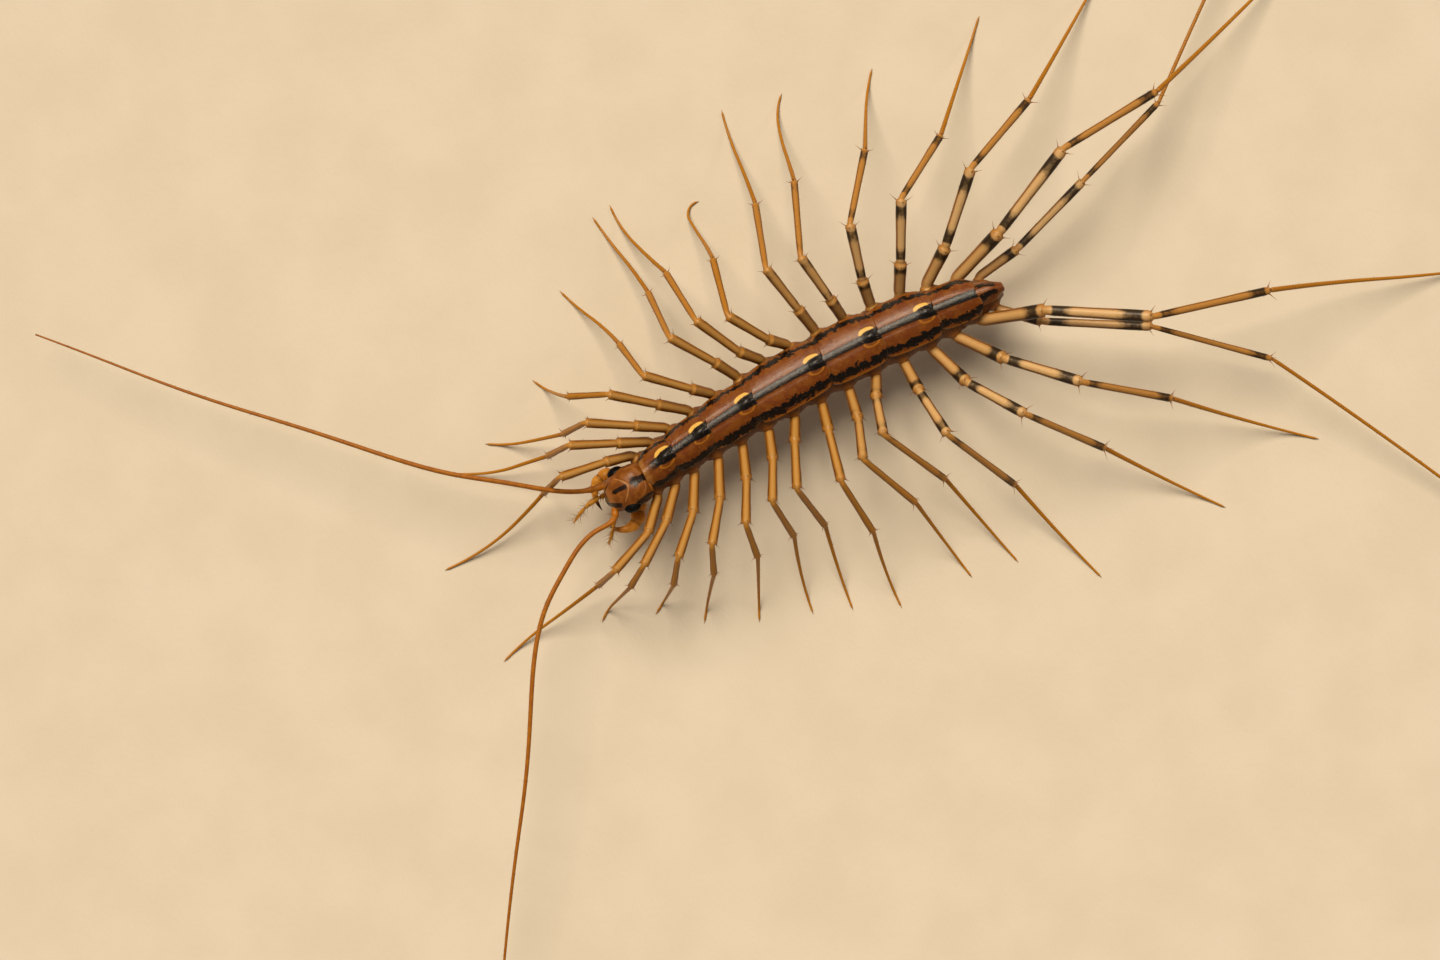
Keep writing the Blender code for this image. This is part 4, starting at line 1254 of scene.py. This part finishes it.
def build_trunk_skin():
    """One soft skin from the neck to the tail end, swelling at each leg's root."""
    front = HEAD_FRONT_Y + HEAD_LENGTH - NECK_DEPTH
    rear = list(plate_spans())[-1][2] - 0.1
    y = np.arange(front, rear, TRUNK_STEP)
    hips = np.array([keyed(HIP_Y, pair) for pair in range(1, 16)])
    swell = np.clip(bump_at(y[:, None] - hips[None, :], HIP_LOBE_WIDTH).sum(axis=1), 0, 1)
    narrowing = {
        front: 0.75, front + 0.6: 0.95, front + 1.2: 1.0, rear - 1.6: 1.0, rear - 0.5: 0.75,
        rear: 0.4,
    }
    narrow = keyed(narrowing, y)
    half = np.array([body_half_width(place) for place in y]) * narrow
    c, s = squarish_ring(TRUNK_COLUMNS, TRUNK_SQUARENESS)
    flank = (c**2 * bump_at(s + 0.3, 0.55))[None, :]
    waves = np.sin(y * 9.1 + 2.0 * np.sin(y * 2.3))[:, None]
    folds = FOLD_DEPTH * waves * (1 - swell[:, None]) * flank
    bulge = FLANK_SWELL * half + HIP_LOBE_BASE * narrow + HIP_LOBE_OUT * swell * narrow
    middle = np.repeat(middle_x(y)[:, None], TRUNK_COLUMNS, axis=1)
    x = middle + half[:, None] * CORE_WIDTH * c[None, :]
    x = x + np.sign(c)[None, :] * (flank * bulge[:, None] + folds)
    height = np.where(s > 0, 1.05, 1.15) * s + GROOVE_DEPTH * bump_at(c, 0.12) * (s < 0)
    ribs = 1 + FOLD_DEPTH * np.cos(swell[:, None] * math.pi) * (s < 0)[None, :]
    z = TRUNK_Z + height[None, :] * ribs * (0.35 + 0.65 * narrow[:, None])
    # The tail end swells up against the last plate.
    tail = np.clip((y - rear + 1.0) / 0.8, 0, 1)[:, None] * np.maximum(s, 0)[None, :]
    z = z + TAIL_SWELL * tail
    rows = np.stack([x, np.repeat(y[:, None], TRUNK_COLUMNS, axis=1), z], axis=2)
    flat = np.zeros(x.shape)
    values = {
        "pale": swell[:, None] * flank,
        "hairy": flat + 0.5,
        "forward": np.stack([flat, flat + 1.0, flat], axis=2),
    }
    settings = {"Count per square metre": 1.5e6, "Length": 0.14 * MM, "Seed": 77}
    skin = grow_skin("trunk_skin", leant(rows, middle), values, pleura_surface, settings)
    set_out(skin, "shell")


# Head: its half width, low and high Z at places behind its front.
HEAD_WIDTHS = {
    -0.06: 0.0, -0.03: 0.3, 0.05: 0.6, 0.25: 0.92, 0.6: 1.14, 1.2: 1.33, 1.9: 1.42, 2.5: 1.37,
    2.85: 1.24, 3.1: 1.0, 3.3: 0.6,
}
HEAD_LOWS = {
    -0.06: 4.5, 0.05: 4.1, 0.25: 3.9, 0.6: 3.75, 1.2: 3.65, 1.9: 3.6, 2.5: 3.65, 2.85: 3.85,
    3.3: 4.2,
}
HEAD_HIGHS = {
    -0.06: 4.5, 0.05: 4.95, 0.25: 5.35, 0.6: 5.75, 1.2: 6.1, 1.9: 6.25, 2.5: 6.22, 2.85: 6.08,
    3.1: 5.85, 3.3: 5.5,
}
HEAD_START = -0.06
HEAD_SPAN = 3.36
HEAD_CROWDING = 1.15
HEAD_ROWS = 150
HEAD_COLUMNS = 140
HEAD_SQUARENESS = 0.85
# Dark marks on the head: from, to and half width, lateral and behind the front, then strength.
SOOT_MARKS = (
    ((-0.06, 0.7), (0.0, 1.45), 0.22, 1.0),
    ((-0.02, 2.1), (0.0, 2.95), 0.32, 0.9),
    ((-0.12, 2.5), (-0.34, 2.1), 0.13, 0.5),
    ((0.12, 2.5), (0.34, 2.1), 0.13, 0.5),
    ((0.4, -0.02), (0.88, 0.66), 0.17, 1.0),
    ((-0.45, 0.1), (-0.8, 0.6), 0.06, 0.8),
    ((-0.45, 0.1), (0.4, -0.02), 0.07, 0.9),
    ((1.38, 1.7), (1.2, 3.1), 0.23, 1.0),
    ((-1.42, 1.7), (-1.36, 2.6), 0.12, 1.0),
)
SOOT_RIM = 0.15
ARC_CENTRE = (0.27, 2.02)
ARC_RADIUS = 0.8
SEAM_WIDTH = 0.065
# Mouth lobes: lateral place, behind the front, Z, then half sizes.
MOUTH_LOBES = {
    "labrum": ((0.0, 0.3, 3.85), (0.52, 0.46, 0.28)),
    "mandible_left": ((0.52, 0.85, 3.6), (0.4, 0.62, 0.3)),
    "mandible_right": ((-0.52, 0.85, 3.6), (0.4, 0.62, 0.3)),
    "claw_base": ((0.0, 2.5, 3.5), (0.95, 0.75, 0.42)),
}
LOBE_COLUMNS = 28
LOBE_ROWS = 22
EYE_SWELL = 1.28


def beside_line(lateral, behind, start, end, width):
    """1 on a line between two places, falling to 0 at that half width."""
    way = np.array(end) - np.array(start)
    along = ((lateral - start[0]) * way[0] + (behind - start[1]) * way[1]) / way.dot(way)
    along = np.clip(along, 0, 1)
    off = np.hypot(lateral - start[0] - along * way[0], behind - start[1] - along * way[1])
    return np.clip(1 - (off / width) ** 2, 0, 1)


def build_head():
    behind = HEAD_START + HEAD_SPAN * np.linspace(0, 1, HEAD_ROWS) ** HEAD_CROWDING
    width, low, high = (eased(keys, behind) for keys in (HEAD_WIDTHS, HEAD_LOWS, HEAD_HIGHS))
    c, s = squarish_ring(HEAD_COLUMNS, HEAD_SQUARENESS)
    lateral = width[:, None] * c[None, :]
    side = np.abs(lateral)
    b = np.repeat(behind[:, None], HEAD_COLUMNS, axis=1)
    z = ((low + high) / 2)[:, None] + ((high - low) / 2)[:, None] * s[None, :]
    flat = np.zeros_like(b)
    on_top = (s > -0.05)[None, :] + flat
    upper = np.clip((s + 0.05) / 0.2, 0, 1)[None, :] + flat
    outward = unit(np.stack([c[None, :] + flat, flat, s[None, :] + flat], axis=2))
    # The seams: one across the front, and an arc on each side behind it.
    front_seam = bump_at(b - 1.75 + 0.85 * side**1.5, SEAM_WIDTH)
    front_seam = front_seam * np.clip((0.95 - side) / 0.15, 0, 1) * on_top
    off_arc = np.hypot(side - ARC_CENTRE[0], b - ARC_CENTRE[1]) - ARC_RADIUS
    arc = bump_at(off_arc, SEAM_WIDTH) * np.clip((b - 1.75) / 0.2, 0, 1)
    arc = arc * np.clip((side - 0.1) / 0.15, 0, 1) * on_top
    swell = 0.03 * bump_at(off_arc, 0.12) * (arc > 0) - 0.02 * front_seam
    # The antenna's socket stands out, the eye sits in a rimmed hollow.
    across, along, rise = side - 0.8, b - 0.35, z - 4.95
    socket = np.sqrt((across / 0.42) ** 2 + (along / 0.4) ** 2 + (rise / 0.45) ** 2)
    swell = swell + 0.17 * bump_at(socket, 0.9)
    across, along, rise = side - EYE_PLACE[0] - 0.06, (b - EYE_PLACE[1]) / 1.15, z - EYE_PLACE[2]
    eye = np.sqrt(across**2 + along**2 + rise**2)
    swell = swell - 0.16 * bump_at(eye, 0.3) + 0.05 * bump_at(eye - 0.52, 0.1)
    # The crown has a hollow in front and one behind, a low swell beside it, and a neck groove.
    for off, breadth, place, length, height in (
        (lateral, 0.3, 1.05, 0.4, -0.05),
        (lateral, 0.22, 2.5, 0.5, -0.05),
        (side - 0.62, 0.4, 2.2, 0.5, 0.05),
    ):
        swell = swell + height * bump_at(off, breadth) * bump_at(b - place, length) * on_top
    swell = swell - 0.05 * bump_at(b - 3.0, 0.06)
    rows = np.stack([lateral + HEAD_MIDDLE, b + HEAD_FRONT_Y, z], axis=2)
    rows = leant(rows + outward * swell[:, :, None], HEAD_MIDDLE)
    soot = sum(depth * beside_line(lateral, b, *mark) for *mark, depth in SOOT_MARKS) * upper
    values = {
        "seam": front_seam + 0.6 * arc,
        "soot": np.maximum(soot, bump_at(eye - 0.4, SOOT_RIM) * upper),
        "pale": np.clip(0.8 - b, 0, 0.8) * on_top + bump_at(b - 3.02, 0.09) * 0.8,
        "hairy": np.clip(1.2 - b * 0.4, 0.2, 1.0),
        "forward": np.stack([flat, flat - 1.0, flat], axis=2),
    }
    settings = {"Count per square metre": 6.0e6, "Length": 0.15 * MM, "Seed": 12}
    set_out(grow_skin("head_capsule", rows, values, head_surface, settings), "head", "head")


def build_mouth_lobe(name, place, axes):
    turn = np.linspace(0, 2 * math.pi, LOBE_COLUMNS, endpoint=False)[None, :]
    rise = np.linspace(0.02, math.pi - 0.02, LOBE_ROWS)[:, None]
    y = -np.cos(rise) * np.ones_like(turn)
    x = np.sin(rise) * np.cos(turn) * (1 + 0.12 * bump_at(y + 0.6, 0.3))
    z = np.sin(rise) * np.sin(turn)
    rows = np.stack([x, y, z], axis=2) * np.array(axes) + head_place(1.0, place)
    flat = np.zeros_like(x)
    values = {
        "seam": bump_at(y, 0.08) * 0.6,
        "soot": bump_at(y + 1.0, 0.25),
        "pale": flat + 0.6,
        "hairy": flat + 1.0,
        "forward": np.stack([flat, flat - 1.0, flat], axis=2),
    }
    settings = {"Count per square metre": 9.0e6, "Length": 0.2 * MM, "Seed": 3}
    set_out(grow_skin(name, rows, values, head_surface, settings), "head")


def build_eye(side):
    name = f"eye_{side}_facets"
    axes = tuple(size * EYE_SWELL * MM for size in EYE_AXES)
    settings = {"Axes": axes, "Cornea": eye_surface}
    eye = grow(name, bpy.data.meshes.new(name), compound_eye, settings)
    place = placed(head_place(side_sign(side), EYE_PLACE))
    for vert in eye.data.vertices:
        vert.co += type(vert.co)(place)
    set_out(eye, "eye", f"eye_{side}")


# Camera: straight above, turned so that the body lies as it does in the photograph.
CAMERA_PLACE = (3.65, -8.19, 250.0)
CAMERA_TURN = math.radians(62.06)
CLIP_RANGE = (1, 5000)
SENSOR = 36.0
VIEW_WIDTH = 96.05
VIEW_PLANE_Z = 6.0
FLOOR_HALF = 700
# Lights: the way to each, across the picture, up it and out of it, then breadth in degrees,
# strength and tint.
LAMP_DISTANCE = 400
LIGHTS = {
    "key": ((-0.28, 0.6, 1.0), 34, 3.85, (1.0, 0.87, 0.68)),
    "fill": ((-0.6, -0.6, 1.2), 50, 0.15, (1.0, 0.94, 0.86)),
    "rim": ((1.2, 0.3, 0.7), 20, 0.35, (1.0, 0.94, 0.84)),
}
WORLD_COLOUR = (1.0, 0.9, 0.76, 1.0)
WORLD_STRENGTH = 0.12


def shown(name, data):
    """An object of the stage, linked to the scene."""
    item = bpy.data.objects.new(name, data)
    bpy.context.scene.collection.objects.link(item)
    return item


def stage_floor():
    size = FLOOR_HALF * MM
    corners = [(-size, -size, 0), (size, -size, 0), (size, size, 0), (-size, size, 0)]
    mesh = bpy.data.meshes.new("floor")
    mesh.from_pydata(corners, [], [(0, 1, 2, 3)])
    mesh.materials.append(floor_paper())
    shown("floor", mesh)


def stage_camera():
    lens = bpy.data.cameras.new("camera")
    lens.sensor_width = SENSOR
    lens.lens = SENSOR * (CAMERA_PLACE[2] - VIEW_PLANE_Z) / VIEW_WIDTH
    lens.clip_start = CLIP_RANGE[0] * MM
    lens.clip_end = CLIP_RANGE[1] * MM
    camera = shown("camera", lens)
    camera.location = placed(np.array(CAMERA_PLACE) - SHIFT * UP)
    camera.rotation_euler = (0.0, 0.0, CAMERA_TURN)
    bpy.context.scene.camera = camera


def stage_light(name, way, breadth, strength, tint):
    light = bpy.data.lights.new(name, "SUN")
    light.angle = math.radians(breadth)
    light.energy = strength
    light.color = tint
    across = np.array((math.cos(CAMERA_TURN), math.sin(CAMERA_TURN), 0.0))
    up = np.array((-math.sin(CAMERA_TURN), math.cos(CAMERA_TURN), 0.0))
    away = unit(across * way[0] + up * way[1] + UP * way[2])
    lamp = shown(name, light)
    lamp.location = away * LAMP_DISTANCE * MM
    lamp.rotation_euler = type(lamp.location)(away).to_track_quat("Z", "Y").to_euler()


def stage_world():
    world = bpy.data.worlds.new("studio")
    world.use_nodes = True
    back = world.node_tree.nodes["Background"]
    back.inputs["Color"].default_value = WORLD_COLOUR
    back.inputs["Strength"].default_value = WORLD_STRENGTH
    bpy.context.scene.world = world
    bpy.context.scene.view_settings.view_transform = "Standard"


plate_surface = plate_chitin()
head_surface = head_chitin()
leg_surface = leg_chitin()
pleura_surface = pleura_skin()
eye_surface = eye_glass()
antenna_surface = plain_chitin("antenna_chitin", "9A5806", "A8660A", "5E3004", 0.42, 0.0)
claw_surface = plain_chitin("claw_chitin", "CE8424", "DA9632", "2A0F06", 0.22, 0.2)
palp_surface = plain_chitin("palp_chitin", "C28424", "D09434", "6B3F14", 0.35, 0.3)
palp_spine_surface = plain_chitin("palp_bristle_chitin", "8A5A22", "9A6A2E", "5A3310", 0.35, 0.1)
spine_surface = plain_chitin("spine_chitin", "7A4418", "8C5420", "4A2408", 0.3, 0.1)
bristle_surface = plain_chitin("bristle_chitin", "80501C", "905E28", "4A2A0E", 0.4, 0.0)
bristle = bristle_tree()
limb = limb_tree(bristle)
compound_eye = eye_tree()

for plate_name, plate_front, plate_rear, plate_half in plate_spans():
    build_plate(plate_name, plate_front, plate_rear, plate_half)
build_trunk_skin()
build_head()
for lobe_name, (lobe_place, lobe_axes) in MOUTH_LOBES.items():
    build_mouth_lobe(lobe_name, lobe_place, lobe_axes)
for body_side in ("left", "right"):
    build_eye(body_side)
for body_side in ("left", "right"):
    build_claw(body_side)
    build_palp(body_side)
for body_side in ("left", "right"):
    build_antenna(body_side)
    for leg_pair in range(1, 16):
        build_leg(body_side, leg_pair)
stage_floor()
stage_camera()
for light_name, light_values in LIGHTS.items():
    stage_light(light_name, *light_values)
stage_world()
